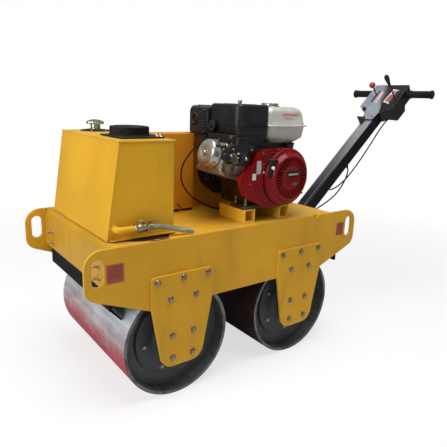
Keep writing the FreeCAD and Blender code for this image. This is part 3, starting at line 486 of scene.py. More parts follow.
def straight_bead(work, start, end, thick=BEAD, step=0.0035):
    """Weld bead along a line, with the ripples of its run and a little wander."""
    start, end = Vector(start), Vector(end)
    along = (end - start).normalized()
    across = along.orthogonal().normalized()
    upward = along.cross(across)
    count = max(4, int((end - start).length / step))
    outlines = []
    for number in range(count + 1):
        waver = 0.92 + 0.10 * math.sin(number * 1.7) * math.sin(number * 0.31)
        swell = thick * waver * (1.0 if number % 2 else 0.8) * (0.35 if number in (0, count) else 1.0)
        middle = start.lerp(end, number / count) + upward * (thick * 0.12 * math.sin(number * 0.43))
        outlines.append([middle + across * (swell * math.cos(turn)) + upward * (swell * math.sin(turn))
                         for turn in full_turn(8)])
    loft(work, outlines)


welds = bmesh.new()
top = deck_high.z - 0.0005
fold, back = panel_high.x + 0.0005, rear_low.x - 0.0005
for side in SIDES:
    inner = side * (side_low.y - 0.001)
    straight_bead(welds, (deck_low.x + 0.01, inner, top), (deck_high.x - 0.006, inner, top))
    straight_bead(welds, (fold, inner, 0.572), (fold, inner, panel_low.z + 0.01), 0.0036)
    straight_bead(welds, (panel_low.x + 0.030, inner, 0.594), (panel_high.x - 0.001, inner, 0.577))
    straight_bead(welds, (back, inner, rear_high.z), (back, inner, rear_low.z + 0.01), 0.0036)
    for belly_x in (rear_high.x, panel_low.x):
        straight_bead(welds, (belly_x, inner, 0.50), (belly_x, inner, 0.46))
make_piece("frame_welds", welds, frame_yellow)


def thread(start, pitch, fall, crest, root):
    """Profile of five turns of a screw thread."""
    rows = [(start + turn * pitch, crest) for turn in range(5)]
    return sorted(rows + [(along + fall, root) for along, radius in rows])


# The bolts that hold the front scraper come through the front panel, nut outside.
studs = bmesh.new()
stud = [(0.008, 0.0055)] + thread(0.0105, 0.0025, 0.0013, 0.0055, 0.0048)
stud += [(0.0230, 0.0052), (0.0240, 0.0042), (0.0240, 0)]
for side in SIDES:
    for height in (0.520, 0.478):
        seat = Vector((panel_high.x, side * 0.232, height))
        hex_bolt(studs, seat, X, 0.017, height * 40)
        turn_on(studs, stud, seat, X, 24)
stud_steel = steel_finish("painted_stud", (0.46, 0.31, 0.12), 0.5, 0.3, (0.09, 0.045, 0.018), 0.8)
make_piece("front_panel_studs", studs, stud_steel)


def outline_slab(work, points, stand, thick, bevel=0.0, steps=2):
    """Plate of a flat outline, from Z = 0 to its thickness in its own frame.

    A bevel above 0 rounds the edges of both its faces, and one below 0 those of the upper face only.
    """
    floor = [work.verts.new(stand @ Vector((a, b, 0))) for a, b in points]
    roof = [work.verts.new(stand @ Vector((a, b, thick))) for a, b in points]
    lid = work.faces.new(roof)
    base = work.faces.new(list(reversed(floor)))
    skin(work, [floor, roof])
    if bevel:
        edges = list(set(lid.edges) | set(base.edges)) if bevel > 0 else list(lid.edges)
        bmesh.ops.bevel(work, geom=edges, offset=abs(bevel), segments=steps, affect="EDGES", profile=0.5)


def rounded(points, radius, steps=6):
    """Flat outline with its corners rounded; radius is one number or one for each corner."""
    radii = radius if isinstance(radius, tuple) else [radius] * len(points)
    path = []
    for number, (point, size) in enumerate(zip(points, radii)):
        if size == 0:
            path.append(point)
            continue
        corner = Vector(point)
        back = (Vector(points[number - 1]) - corner).normalized()
        on = (Vector(points[(number + 1) % len(points)]) - corner).normalized()
        half = back.angle(on) / 2
        middle = corner + (back + on).normalized() * (size / math.sin(half))
        start = corner + back * (size / math.tan(half)) - middle
        end = corner + on * (size / math.tan(half)) - middle
        turn = start.angle_signed(end)
        for step in range(steps + 1):
            path.append(tuple(middle + Matrix.Rotation(-turn * step / steps, 2) @ start))
    return path


def oblong(left, right, bottom, top, radius, steps=6):
    return rounded([(left, bottom), (right, bottom), (right, top), (left, top)], radius, steps)


def face_frame(origin, along, upward):
    """Matrix whose X runs along, Y upward and Z out of a face."""
    out = along.cross(upward)
    return Matrix(((along.x, upward.x, out.x, origin[0]), (along.y, upward.y, out.y, origin[1]),
                   (along.z, upward.z, out.z, origin[2]), (0, 0, 0, 1)))


def wall(place, side=1):
    """Upright frame that faces the near side, where its X points backwards, or the far side."""
    return face_frame(place, X * -side, Z)


# Red-brown blank stickers beside the lifting slots, each with a paler border.
STICKER_RED, STICKER_BORDER, SCUFF = (0.24, 0.036, 0.016), (0.34, 0.10, 0.04), (0.42, 0.28, 0.16)
BORDER_WIDTH, BORDER_BLUR = 0.004, 0.0008


def sticker_finish(name, left, right, bottom, top):
    """Printed vinyl with a border, scuffed, on a place given by its edges."""
    finish, tree, shader = new_finish(name, 0.42)
    axes = object_axes(tree)
    inside = 1.0
    for value, low, high in ((axes[0], left, right), (axes[2], bottom, top)):
        low, high = low + BORDER_WIDTH, high - BORDER_WIDTH
        from_low = ramp(tree, value, low, low + BORDER_BLUR)
        within = times(tree, from_low, ramp(tree, value, high, high - BORDER_BLUR))
        inside = times(tree, inside, within)
    clouds = mottle(tree, 40.0, 4.0)
    ground = cloudy(tree, clouds, STICKER_RED, shade(STICKER_RED, 1.5))
    scuffs = ramp(tree, mottle(tree, 260.0, 3.0, (1, 1, 0.4)), 0.66, 0.74, 0.0, 0.5)
    colour = mix(tree, scuffs, mix(tree, inside, STICKER_BORDER, ground), SCUFF)
    surface(tree, shader, colour, None, clouds, 0.0003)
    return finish


for side, hand in zip(SIDES, ("left", "right")):
    for place, left, right, bottom, top in (("front", 0.8298, 0.8888, 0.486, 0.549),
                                            ("rear", -0.2222, -0.1762, 0.492, 0.549)):
        name = "slot_sticker_" + place + "_" + hand
        sticker = bmesh.new()
        ends = sorted((-side * left, -side * right))
        outline_slab(sticker, oblong(*ends, bottom, top, 0.004), wall(Y * (side * side_high.y), side), 0.0006)
        make_piece(name, sticker, sticker_finish(name, left, right, bottom, top))

# ======== scrapers ========
# Folded strips of plate hang behind the end panels, and each blade stands a few millimetres
# off its drum. They are painted black, and what they have scraped off sticks to them.

scraper_black = dark_enamel("scraper_black", (0.003, 0.0025, 0.003), 0.5, (0.14, 0.12, 0.10), dust=0.22,
                            specular=0.04)
for node in ("front_scraper", "rear_scraper"):
    dress(node, scraper_black)
seats = [((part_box("rear_scraper")[0].x, side * (side_low.y - 0.010), 0.435), 0.3) for side in SIDES]
bolt_group("rear_scraper_bolts", seats, -X, 0.013, 0.018)

# ======== water tank ========
# A box of folded sheet with a leaning front, seam-welded at its corners, under a lid that
# overhangs. A moulded filler and a plated breather are screwed to the lid through gaskets.

tank_yellow = yellow_enamel("tank_yellow", (0.72, 0.385, 0.020), (0.88, 0.58, 0.11), 0.34, grime_amount=0.20,
                            edge=0.0035)
dress("water_tank", tank_yellow)
tank_low, tank_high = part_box("water_tank")
TANK_SIDE = tank_high.y - 0.003
TANK_REAR = tank_low.x + 0.008
TANK_FRONT_TOP = 0.478 + MIDDLE
TANK_SEAM = 0.9125


def level(height, x=0.0, y=0.0):
    """Frame that lies flat at a height."""
    return Matrix.Translation((x, y, height))


welds = bmesh.new()
lips = bmesh.new()
for side in SIDES:
    corner, seam, foot = (side * (TANK_SIDE + out) for out in (0.0, 0.0005, -0.0115))
    straight_bead(welds, (tank_high.x - 0.0005, corner, 0.606), (TANK_FRONT_TOP + 0.001, corner, 0.911),
                  0.0015, 0.0025)
    straight_bead(welds, (TANK_REAR + 0.006, seam, TANK_SEAM), (TANK_FRONT_TOP, seam, TANK_SEAM),
                  0.0016, 0.0025)
    straight_bead(welds, (TANK_REAR + 0.02, foot, 0.6015), (tank_high.x - 0.02, foot, 0.6015), 0.0022)
    edges = sorted((side * (TANK_SIDE - 0.002), side * (TANK_SIDE + 0.014)))
    outline_slab(lips, oblong(tank_low.x + 0.004, tank_high.x - 0.008, *edges, 0.002, 2), level(0.6045),
                 0.0025, 0.0006)
make_piece("tank_welds", welds, tank_yellow)
make_piece("tank_bottom_lips", lips, tank_yellow)


def plain_finish(name, first, second, roughness, scale, detail=4.0, high=0.7, grain=(300.0, 4.0),
                 depth=0.0001, **gloss):
    """Two close colours in soft patches over a fine grain."""
    finish, tree, shader = new_finish(name, roughness, **gloss)
    colour = cloudy(tree, mottle(tree, scale, detail), first, second, high=high)
    surface(tree, shader, colour, None, mottle(tree, *grain), depth)
    return finish


# A dark strip under the tank and a dark patch on the deck beside it: a painted shadow of the tank and its
# lips.
shadow_sheet_dark = plain_finish("shadow_sheet_dark", (0.022, 0.009, 0.004), (0.060, 0.024, 0.008), 0.7, 30.0, 5.0,
                              grain=(200.0, 3.0), depth=0.0005, specular=0.2)
shadow_sheet = bmesh.new()
strip = oblong(tank_low.x + 0.010, tank_high.x - 0.020, -TANK_SIDE - 0.010, TANK_SIDE + 0.010, 0.010)
outline_slab(shadow_sheet, strip, level(0.6002), 0.0044, 0.001)
shadow_patch = [(tank_low.x + 0.020, TANK_SIDE), (tank_high.x - 0.035, TANK_SIDE),
         (tank_high.x - 0.075, TANK_SIDE + 0.026), (tank_high.x - 0.130, TANK_SIDE + 0.056),
         (tank_low.x + 0.055, TANK_SIDE + 0.056), (tank_low.x + 0.040, TANK_SIDE + 0.024)]
shadow_patch = rounded(shadow_patch, (0.004, 0.004, 0.03, 0.02, 0.012, 0.012))
outline_slab(shadow_sheet, shadow_patch, level(0.6001), 0.0016, -0.0008)
make_piece("tank_shadow_sheet", shadow_sheet, shadow_sheet_dark)


def moulded_plastic(name, colour, roughness, grain=320.0, depth=0.00022, dust=0.35, specular=0.4):
    """Moulded black plastic: fine grain, greyed where dust has settled."""
    finish, tree, shader = new_finish(name, roughness, specular=specular)
    clouds = mottle(tree, 18.0, 4.0)
    settled = times(tree, facing_up(tree, 0.35), ramp(tree, clouds, 0.35, 0.7, 0.1, dust))
    body = cloudy(tree, clouds, colour, shade(colour, 1.6, 0.002))
    body = mix(tree, settled, body, (0.20, 0.19, 0.17))
    rough = ramp(tree, clouds, 0.3, 0.75, roughness - 0.07, roughness + 0.1)
    surface(tree, shader, body, rough, mottle(tree, grain, 3.0), depth, 0.0008)
    return finish


def bar(length, width, radius, steps=6):
    """Oblong round the middle of its own frame."""
    return oblong(-length / 2, length / 2, -width / 2, width / 2, radius, steps)


def ribbed(step):
    """Share of a groove's depth, for ribs and grooves of two steps each."""
    return 1.0 if step % 4 in (2, 3) else 0.0


filler_plastic = moulded_plastic("filler_plastic", (0.0036, 0.0036, 0.0036), 0.50, dust=0.03, specular=0.22)
filler_low, filler_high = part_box("tank_filler")
FILLER = Vector((0.362 + MIDDLE, 0.088, tank_high.z))
PLATE_THICK = 0.005
CAP_RADIUS, CAP_TOP, CAP_RIBS = 0.0680, 0.0300, 60
cap_seat = FILLER + Z * PLATE_THICK
filler = bmesh.new()
plate = oblong(filler_low.x, filler_high.x + 0.004, filler_low.y, filler_high.y, 0.009, 8)
outline_slab(filler, plate, level(tank_high.z), PLATE_THICK, -0.0016)
turn_on(filler, [(-0.001, 0), (0, CAP_RADIUS + 0.004), (0.003, CAP_RADIUS + 0.004),
                 (0.004, CAP_RADIUS - 0.001), (0.0045, 0)], cap_seat, Z, 96)
skirt = [(0.0035, CAP_RADIUS, 0.0012), (CAP_TOP - 0.0035, CAP_RADIUS - 0.0006, 0.0012),
         (CAP_TOP - 0.0012, CAP_RADIUS - 0.0012, 0.0004), (CAP_TOP, CAP_RADIUS - 0.0028, 0.0)]
filler.faces.new(turn_on(filler, skirt, cap_seat - Z * 0.0005, Z, CAP_RIBS * 4, groove=ribbed)[-1])
turn_on(filler, [(CAP_TOP - 0.001, 0.054), (CAP_TOP + 0.001, 0.053), (CAP_TOP + 0.001, 0.048),
                 (CAP_TOP - 0.001, 0.047)], cap_seat, Z, 72)
grip = pointing(cap_seat + Z * (CAP_TOP - 0.001), Z, 0.6)
outline_slab(filler, bar(0.084, 0.012, 0.004), grip, 0.0022, -0.0014)
make_piece("tank_filler_cap", filler, filler_plastic, ("tank_filler",))
seats = [((x, y, cap_seat.z), x * 30) for x, y in (
    (filler_low.x + 0.0135, filler_high.y - 0.0335), (filler_low.x + 0.0100, filler_high.y - 0.0130),
    (filler_low.x + 0.014, filler_low.y + 0.010))]
bolt_group("tank_filler_screws", seats, Z, 0.011, 0.017)


def above_middle(node, height):
    """Point over the middle of a CAD node's box."""
    low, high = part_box(node)
    return Vector(((low.x + high.x) / 2, (low.y + high.y) / 2, height))


def fluted(steps):
    """Share of a groove's depth, for flutes of so many steps each."""
    return lambda step: 0.5 + 0.5 * math.cos(2 * math.pi * step / steps)


# The breather: a gasketed black flange, a threaded neck and a fluted plated cap.
BREATHER = above_middle("tank_breather", tank_high.z)
flange = bmesh.new()
turn_on(flange, [(0, 0), (0, 0.0560), (0.0028, 0.0560), (0.0036, 0.0550), (0.0036, 0)], BREATHER, Z, 72)
turn_on(flange, [(0.003, 0.042), (0.0055, 0.040), (0.0078, 0.0240), (0.0078, 0)], BREATHER, Z, 56)
make_piece("breather_flange", flange, filler_plastic)
plated = steel_finish("breather_plating", (0.70, 0.69, 0.66), 0.13, 1.0, (0.16, 0.13, 0.09), 0.6)
breather = bmesh.new()
neck = [(0.005, 0.0195)] + thread(0.007, 0.0036, 0.0018, 0.0195, 0.0175) + [(0.0255, 0.0195), (0.0255, 0)]
turn_on(breather, neck, BREATHER, Z, 44)
mushroom = [(0.0262, 0.0180), (0.0255, 0.0275, 0.0006), (0.0262, 0.0325, 0.0036), (0.0320, 0.0336, 0.0042),
            (0.0355, 0.0318, 0.0034), (0.0392, 0.0245, 0.0014), (0.0415, 0.0190), (0.0430, 0.0090)]
close_ends(breather, turn_on(breather, mushroom, BREATHER, Z, 80, groove=fluted(8)))
make_piece("breather_cap", breather, plated, ("tank_breather",))
screws = bmesh.new()
for angle in full_turn(5, 0.9):
    turn_on(screws, [(-0.001, 0), (-0.001, 0.0042), (0.0016, 0.0040), (0.0028, 0.0028), (0.0030, 0)],
            BREATHER + polar(0.0480, angle, 0.0034), Z, 18)
make_piece("breather_screws", screws, bolt_steel)

# ======== drain ========
# A bent pipe is welded into the tank's side and painted with it. A nickel-plated ball valve
# screws onto its end, and a length of clear hose, cloudy with age, is pushed onto the valve.

DRAIN = Vector((0.500 + MIDDLE, TANK_SIDE, 0.641))
PIPE_OUT, PIPE_LONG, BEND = 0.024, 0.056, 0.016


def tube_along(work, points, radius, sides):
    """Round tube through points, its rings kept from twisting."""
    points = [Vector(point) for point in points]
    guide = None
    outlines = []
    for before, point, after in zip(points[:1] + points, points, points[1:] + points[-1:]):
        along = (after - before).normalized()
        guide = guide - along * guide.dot(along) if guide else along.orthogonal()
        guide.normalize()
        other = along.cross(guide)
        outlines.append([point + guide * (radius * math.cos(turn)) + other * (radius * math.sin(turn))
                         for turn in full_turn(sides)])
    loft(work, outlines)


pipe = bmesh.new()
elbow = DRAIN + Vector((-BEND, PIPE_OUT - BEND, 0))
pipe_end = DRAIN + Vector((-PIPE_LONG, PIPE_OUT, 0))
quarter = [elbow + polar(BEND, math.pi / 2 * step / 12) for step in range(13)]
tube_along(pipe, [DRAIN - Y * 0.001] + quarter + [pipe_end], 0.011, 28)
ring_bead(pipe, DRAIN, Y, 0.0120, 0.0022, 18)
make_piece("drain_pipe", pipe, tank_yellow)

valve_nickel = steel_finish("valve_nickel", (0.40, 0.34, 0.21), 0.28, 0.9, (0.060, 0.045, 0.020), 0.9)
VALVE_NUT = [(0, 0), (0, 0.0140), (0.001, 0.0152), (0.009, 0.0152), (0.010, 0.0140), (0.010, 0)]
stem = pipe_end - X * 0.022
valve = bmesh.new()
for start in (0.0, 0.034):
    turn_on(valve, VALVE_NUT, pipe_end - X * start, -X, 6, 0.52)
turn_on(valve, [(0.009, 0.0120), (0.013, 0.0140), (0.018, 0.0148), (0.026, 0.0148), (0.031, 0.0140),
                (0.035, 0.0120)], pipe_end, -X, 36)
turn_on(valve, [(0.010, 0.0072), (0.0170, 0.0072), (0.0175, 0.0050), (0.0195, 0.0050), (0.0195, 0)],
        stem, Z, 28)
turn_on(valve, [(0.0215, 0.0052), (0.0255, 0.0052), (0.0262, 0.0042), (0.0262, 0)], stem, Z, 6)
make_piece("drain_valve_body", valve, valve_nickel, ("drain_valve",))
lever_red = dark_enamel("valve_lever_red", (0.24, 0.060, 0.010), 0.5, (0.30, 0.25, 0.18), 0.0008, 0.7, 0.2)
half = [(-0.066, 0.0040), (-0.012, 0.0050), (0.009, 0.0060)]
half_radii = (0.0045, 0.004, 0.0065)
blade = rounded([(a, -b) for a, b in half] + half[::-1], half_radii + half_radii[::-1])
lever = bmesh.new()
tilted = Matrix.Translation(stem + Z * 0.0170) @ Matrix.Rotation(0.03, 4, "Y")
outline_slab(lever, blade, tilted, 0.0022, 0.0006)
make_piece("drain_valve_lever", lever, lever_red)


def route(*places):
    """Places given in millimetres from the ground under the machine's middle, put into its frame."""
    return [(x / 1000 + MIDDLE, y / 1000, z / 1000) for x, y, z in places]


def cord_curve(name, points, radius, finish):
    """Free cord as one smooth curve through its route, with a round section."""
    line = bpy.data.curves.new(name, "CURVE")
    line.dimensions = "3D"
    spline = line.splines.new("NURBS")
    spline.points.add(len(points) - 1)
    for point, (x, y, z) in zip(spline.points, points):
        point.co = (x, y, z, 1)
    spline.order_u = 3
    spline.use_endpoint_u = True
    spline.resolution_u = 8
    line.bevel_depth = radius
    line.bevel_resolution = 5
    line.use_fill_caps = True
    line.materials.append(finish)
    cord = bpy.data.objects.new(name, line)
    bpy.context.scene.collection.objects.link(cord)
    return cord


clear_hose = plain_finish("clear_hose", (0.40, 0.44, 0.36), (0.24, 0.25, 0.15), 0.28, 45.0,
                          grain=(150.0, 3.0), depth=0.0003, coat=0.3, clear=0.35)
HOSE_ROUTE = ((0.730815, 0.283, 0.641), (0.700815, 0.283, 0.641), (0.664815, 0.2845, 0.635),
              (0.628815, 0.289, 0.624), (0.594815, 0.296, 0.615), (0.562815, 0.305, 0.613))
hose = cord_curve("drain_hose_clear", HOSE_ROUTE, 0.009, clear_hose)
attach(hose, "chassis")
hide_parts("drain_hose")
clamp = bmesh.new()
band = pipe_end - X * 0.0555
turn_on(clamp, [(0.0, 0.0093), (0.0, 0.0102), (0.008, 0.0102), (0.008, 0.0093)], band, -X, 36)
outline_slab(clamp, bar(0.008, 0.010, 0.001), level(band.z + 0.0095, band.x - 0.004, band.y), 0.006, 0.0008)
make_piece("drain_hose_clamp", clamp, bolt_steel)

# ======== belt guard ========
# A folded sheet-steel cover over the belts, deep before the engine and flat behind its
# shaft. It is bolted to the deck and is a more orange yellow; dark oblongs at its foot are
# painted shadow in the gaps under its edge.

guard_orange = yellow_enamel("guard_orange", (0.70, 0.27, 0.016), (0.84, 0.46, 0.06), 0.34,
                             (0.20, 0.10, 0.02))
dress("belt_guard", guard_orange)
guard_low, guard_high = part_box("belt_guard")
STEP_X = 0.037 + MIDDLE
FAR = -1
door = bmesh.new()
outline_slab(door, oblong(guard_low.x + 0.030, guard_high.x - 0.018, 0.628, 0.842, 0.010),
             wall(Y * guard_low.y, FAR), 0.0016, -0.0010)
make_piece("belt_guard_door", door, guard_orange)
shoulder = bmesh.new()
slope = [(MIDDLE - 0.145, 0.850), (STEP_X, 0.850), (STEP_X, guard_high.z), (MIDDLE - 0.098, guard_high.z)]
outline_slab(shoulder, rounded(slope, (0, 0, 0, 0.045), 8), wall(Y * (guard_low.y + 0.0280), FAR), 0.0280)
make_piece("belt_guard_shoulder", shoulder, guard_orange)
guard_black = dark_enamel("guard_black_shadow_and_hook", (0.010, 0.008, 0.006), 0.8)
# Dark oblongs low on the guard: painted shadow in the gaps between its edge and the deck.
shadow_gaps = bmesh.new()
for left, right in ((0.040, 0.092), (0.104, 0.132), (0.160, 0.205)):
    outline_slab(shadow_gaps, oblong(-right, -left, 0.6035, 0.6125, 0.003), wall((MIDDLE, guard_high.y, 0)), 0.0009)
make_piece("belt_guard_shadow_gaps", shadow_gaps, guard_black)
hook = bmesh.new()
tube_along(hook, route((112, -2, 634), (112, 10, 634), (111.5, 13.5, 631), (107, 14, 626), (103, 14, 620),
                       (104.5, 14, 613), (110, 14, 610.5), (115, 14, 613.5)), 0.0021, 12)
make_piece("belt_guard_hook", hook, guard_black)
bolts = bmesh.new()
for x, z in ((0.228, 0.645), (0.228, 0.825), (-0.020, 0.645), (-0.250, 0.645), (-0.250, 0.735),
             (-0.020, 0.825)):
    hex_bolt(bolts, (x + MIDDLE, guard_low.y - 0.0016, z), -Y, 0.012, x * 9, 0.018)
for x, spin in ((0.012, 0.3), (-0.180, 0.5)):
    hex_bolt(bolts, (x + MIDDLE, -0.062, 0.655), Y, 0.011, spin, 0.017)
make_piece("belt_guard_bolts", bolts, bolt_steel)

# ======== engine: rails, crankcase and cylinder ========
# Two open square tubes cross the deck and carry the engine's feet on studs. The crankcase and
# its leaning finned cylinder are one aluminium casting, stained brown by heat and oil.

# The rails carry the frame's paint, but their colour is much lighter: painted light where they sit in the
# engine's shade.
rail_yellow_painted_light = yellow_enamel("rail_yellow_painted_light", (0.98, 0.59, 0.048), (0.92, 0.64, 0.15), 0.4,
                            (0.34, 0.17, 0.04), 0.5, 0.002)
dress("engine_rails", rail_yellow_painted_light)
rails_low, rails_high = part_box("engine_rails")
RAIL_FOOT = 0.6005
welds = bmesh.new()
for x in (-0.2475, -0.1965, -0.0675, -0.0165):
    for start, end in ((rails_low.y + 0.01, rails_low.y + 0.06), (rails_high.y - 0.07, rails_high.y - 0.008)):
        straight_bead(welds, (x + MIDDLE, start, RAIL_FOOT), (x + MIDDLE, end, RAIL_FOOT))
make_piece("engine_rail_welds", welds, rail_yellow_painted_light)

OIL_BROWN = (0.046, 0.026, 0.009)


def darker_below(tree, clouds, waver, high, low, amount):
    """How much of a darker colour is laid on, from none above a wavy line to an amount below it."""
    height = plus(tree, object_axes(tree)[2], times(tree, clouds, waver))
    return ramp(tree, height, high, low, 0.0, amount)


def cast_metal(name, colour, stain, roughness=0.48, metal=0.75, oiled=None):
    """Sand-cast metal, grainy, stained in cloudy patches and black with oil below a height if asked."""
    finish, tree, shader = new_finish(name, roughness, metal)
    clouds = mottle(tree, 16.0, 6.0, roughness=0.65)
    skin_grain = mottle(tree, 130.0, 4.0)
    body = mix(tree, ramp(tree, clouds, 0.42, 0.66, 0.0, 0.92), colour, stain)
    body = mix(tree, ramp(tree, skin_grain, 0.3, 0.7, 0.0, 0.35), body, shade(stain, 0.45))
    body = mix(tree, ramp(tree, edge_mask(tree, 0.001), 0.2, 0.9, 0.0, 0.35), body, shade(colour, 1.7))
    if oiled:
        body = mix(tree, darker_below(tree, clouds, 0.04, oiled, oiled - 0.06, 0.88), body, OIL_BROWN)
    rough = ramp(tree, clouds, 0.3, 0.75, roughness * 0.8, min(1.0, roughness * 1.4))
    surface(tree, shader, body, rough, skin_grain, 0.0007, 0.001)
    return finish


block_aluminium = cast_metal("block_aluminium", (0.56, 0.495, 0.40), (0.15, 0.098, 0.050), oiled=0.815)
CRANK = Vector((-0.201 + MIDDLE, 0.328, 0.768))
LEAN = math.radians(17.5)
BORE = Vector((math.cos(LEAN), 0, math.sin(LEAN)))


def from_crank(across, near, above):
    """Point given from the crank's near end, in metres."""
    return CRANK + Vector((across, near, above))


def cylinder_frame(distance):
    """Frame on the cylinder's axis: X across the engine, Y up its side, Z along the bore."""
    return face_frame(from_crank(0, -0.163, 0) + BORE * distance, Y, BORE.cross(Y))


def near_side(points):
    """Outline drawn with X forward, turned over for a frame that faces the near side."""
    return [(-a, b) for a, b in reversed(points)]


engine = bmesh.new()
case = rounded([(-0.091, -0.118), (0.139, -0.118), (0.139, 0.060), (0.079, 0.100), (-0.091, 0.100)],
               (0.010, 0.010, 0.020, 0.020, 0.089), 10)
outline_slab(engine, near_side(case), wall(from_crank(0, -0.266, 0)), 0.183, 0.003)
flange = rounded([(-0.095, -0.110), (0.143, -0.110), (0.143, 0.060), (0.081, 0.104), (-0.095, 0.104)],
                 (0.012, 0.012, 0.020, 0.020, 0.089), 10)
outline_slab(engine, near_side(flange), wall(from_crank(0, -0.232, 0)), 0.007, 0.002)
foot = Matrix.Translation(from_crank(0, 0, -0.118))
outline_slab(engine, oblong(-0.049, 0.187, -0.143, -0.054, 0.008), foot, 0.014, 0.002)
for across in (-0.018, 0.027, 0.072, 0.117):
    gusset = face_frame(from_crank(across, -0.083, -0.104), -Y, Z)
    outline_slab(engine, [(-0.040, 0.0), (0.0, 0.0), (0.0, 0.040)], gusset, 0.006, 0.001)

FINS, FIN_PITCH = 13, 0.0105
HEAD, HEAD_THICK = 0.248, 0.0275
HEAD_BOLTS = [Vector((across, above, 0)) for across in (-0.064, 0.064) for above in (-0.056, 0.040)]
outline_slab(engine, oblong(-0.062, 0.062, -0.056, 0.042, 0.010), cylinder_frame(0.060), 0.180)
for number in range(FINS):
    fin = cylinder_frame(0.112 + number * FIN_PITCH)
    outline_slab(engine, oblong(-0.075, 0.075, -0.068, 0.052, 0.012, 3), fin, 0.0034, 0.0009, 1)
outline_slab(engine, oblong(-0.075, 0.075, -0.066, 0.050, 0.014), cylinder_frame(HEAD), HEAD_THICK, 0.003)
for corner in HEAD_BOLTS:
    turn_on(engine, [(0.0, 0.011), (0.0270, 0.011), (0.0276, 0.010), (0.0276, 0)],
            cylinder_frame(HEAD) @ corner, BORE, 24)
outline_slab(engine, bar(0.060, 0.040, 0.006), wall(from_crank(0.205, -0.088, 0.040)), 0.010, 0.002)
make_piece("engine_casting", engine, block_aluminium, ("engine_block",))

bolts = bmesh.new()
for corner in HEAD_BOLTS:
    hex_bolt(bolts, cylinder_frame(0.2756) @ corner, BORE, 0.011, corner.x * 40, 0.016)
for across, above in ((-0.080, -0.085), (-0.080, 0.0), (-0.030, 0.088), (0.040, 0.092), (0.115, 0.060),
                      (0.130, -0.02), (0.130, -0.098), (0.040, -0.100)):
    hex_bolt(bolts, from_crank(across, -0.225, above), Y, 0.008, above * 50, 0.012)
for across in (0.171, -0.036):
    for near in (-0.066, -0.125):
        seat = from_crank(across, near, -0.104)
        hex_bolt(bolts, seat, Z, 0.014, across * 20, 0.022)
        turn_on(bolts, [(0.009, 0.0042), (0.028, 0.0042), (0.029, 0.0034), (0.029, 0)], seat, Z, 18)
make_piece("engine_bolts", bolts, bolt_steel)

# Two black oil plugs low on the near side of the crankcase, each with a bar to turn it by.
plug_black = moulded_plastic("oil_plug_black", (0.014, 0.014, 0.015), 0.42)
OIL_PLUG = [(-0.02, 0.013), (0.004, 0.013), (0.004, 0.0165), (0.016, 0.0165), (0.018, 0.0145), (0.018, 0)]
plugs = bmesh.new()
for across, above in ((0.150, -0.078), (0.112, -0.075)):
    seat = from_crank(across, -0.083, above)
    turn_on(plugs, OIL_PLUG, seat, Y, 10)
    outline_slab(plugs, bar(0.026, 0.006, 0.001), pointing(seat + Y * 0.017, Y, 0.5), 0.006, 0.0008)
make_piece("oil_plugs", plugs, plug_black)

# ======== valve cover ========
# A pressed and polished aluminium dome with a rolled rim, held on the head by one
# central domed nut on a stud, over a cork gasket.

cover_polish, tree, shader = new_finish("valve_cover_polish", 0.24, 0.72)
smears = mottle(tree, 22.0, 5.0, (1, 1, 2.5), 0.6)
body = cloudy(tree, smears, (0.64, 0.64, 0.62), (0.42, 0.40, 0.36))
body = mix(tree, darker_below(tree, smears, 0.03, 0.862, 0.836, 0.60), body, (0.27, 0.17, 0.085))
surface(tree, shader, body, ramp(tree, smears, 0.3, 0.75, 0.16, 0.36), mottle(tree, 500.0, 2.0), 0.00012)
cover_foot = cylinder_frame(0.276).translation
cover = bmesh.new()
turn_on(cover, [(0.0, 0), (0.0, 0.0562), (0.0014, 0.0574), (0.0040, 0.0574), (0.0056, 0.0562),
                (0.0066, 0.0548), (0.0080, 0.0540), (0.0240, 0.0535), (0.0300, 0.0520), (0.0338, 0.0486),
                (0.0358, 0.0440), (0.0366, 0.0380), (0.0364, 0.0305), (0.0352, 0.0245), (0.0338, 0.0212),
                (0.0330, 0.0180), (0.0328, 0.0135), (0.0328, 0)], cover_foot, BORE, 96)
make_piece("valve_cover_dome", cover, cover_polish, ("valve_cover",))
nut = bmesh.new()
turn_on(nut, [(0.0320, 0), (0.0320, 0.0108), (0.0338, 0.0110), (0.0342, 0.0096), (0.0342, 0)],
        cover_foot, BORE, 32)
turn_on(nut, [(0.0340, 0.0076), (0.0388, 0.0076), (0.0396, 0.0062)], cover_foot, BORE, 6)
turn_on(nut, [(0.0388, 0.0064), (0.0410, 0.0056), (0.0424, 0.0038), (0.0428, 0)], cover_foot, BORE, 28)
make_piece("valve_cover_nut", nut, plated)

# ======== reduction case ========
# A black cast case on the engine's far side carries the drive to the belts. Its cover is held
# by eight bolts through round lugs on its rim.

case_black = dark_enamel("case_black", (0.014, 0.014, 0.014), 0.5, (0.18, 0.16, 0.13), 0.0015, 0.5, 0.4)
dress("gear_case", case_black)
GEAR = Vector((0.070 + CRANK.x, 0.022, CRANK.z))
LUG_PITCH = 0.1080
LUG_TURNS = full_turn(8, math.pi / 8)
case = bmesh.new()
turn_on(case, [(-0.046, 0.1085), (-0.046, 0.1125), (-0.036, 0.1125), (-0.036, 0.1085)], GEAR, Y, 90)
turn_on(case, [(-0.0005, 0.0940), (0.0035, 0.0900), (0.0040, 0.0820), (0.0010, 0.0790)], GEAR, Y, 90)
for angle in LUG_TURNS:
    turn_on(case, [(-0.052, 0), (-0.052, 0.0085), (-0.030, 0.0085), (-0.028, 0.0070), (-0.028, 0)],
            GEAR + side_polar(LUG_PITCH, angle), Y, 20)
make_piece("gear_case_ribs", case, case_black)
bolt_group("gear_case_bolts", [(GEAR + side_polar(LUG_PITCH, angle, -0.028), angle) for angle in LUG_TURNS],
           Y, 0.008, 0.011)

# ======== fan cover and recoil starter ========
# Pressed steel in red enamel. The starter is screwed over the flywheel fan: a stepped ring
# round a grille of radial slats, with a blank name bar and a blank oval badge on its hub.

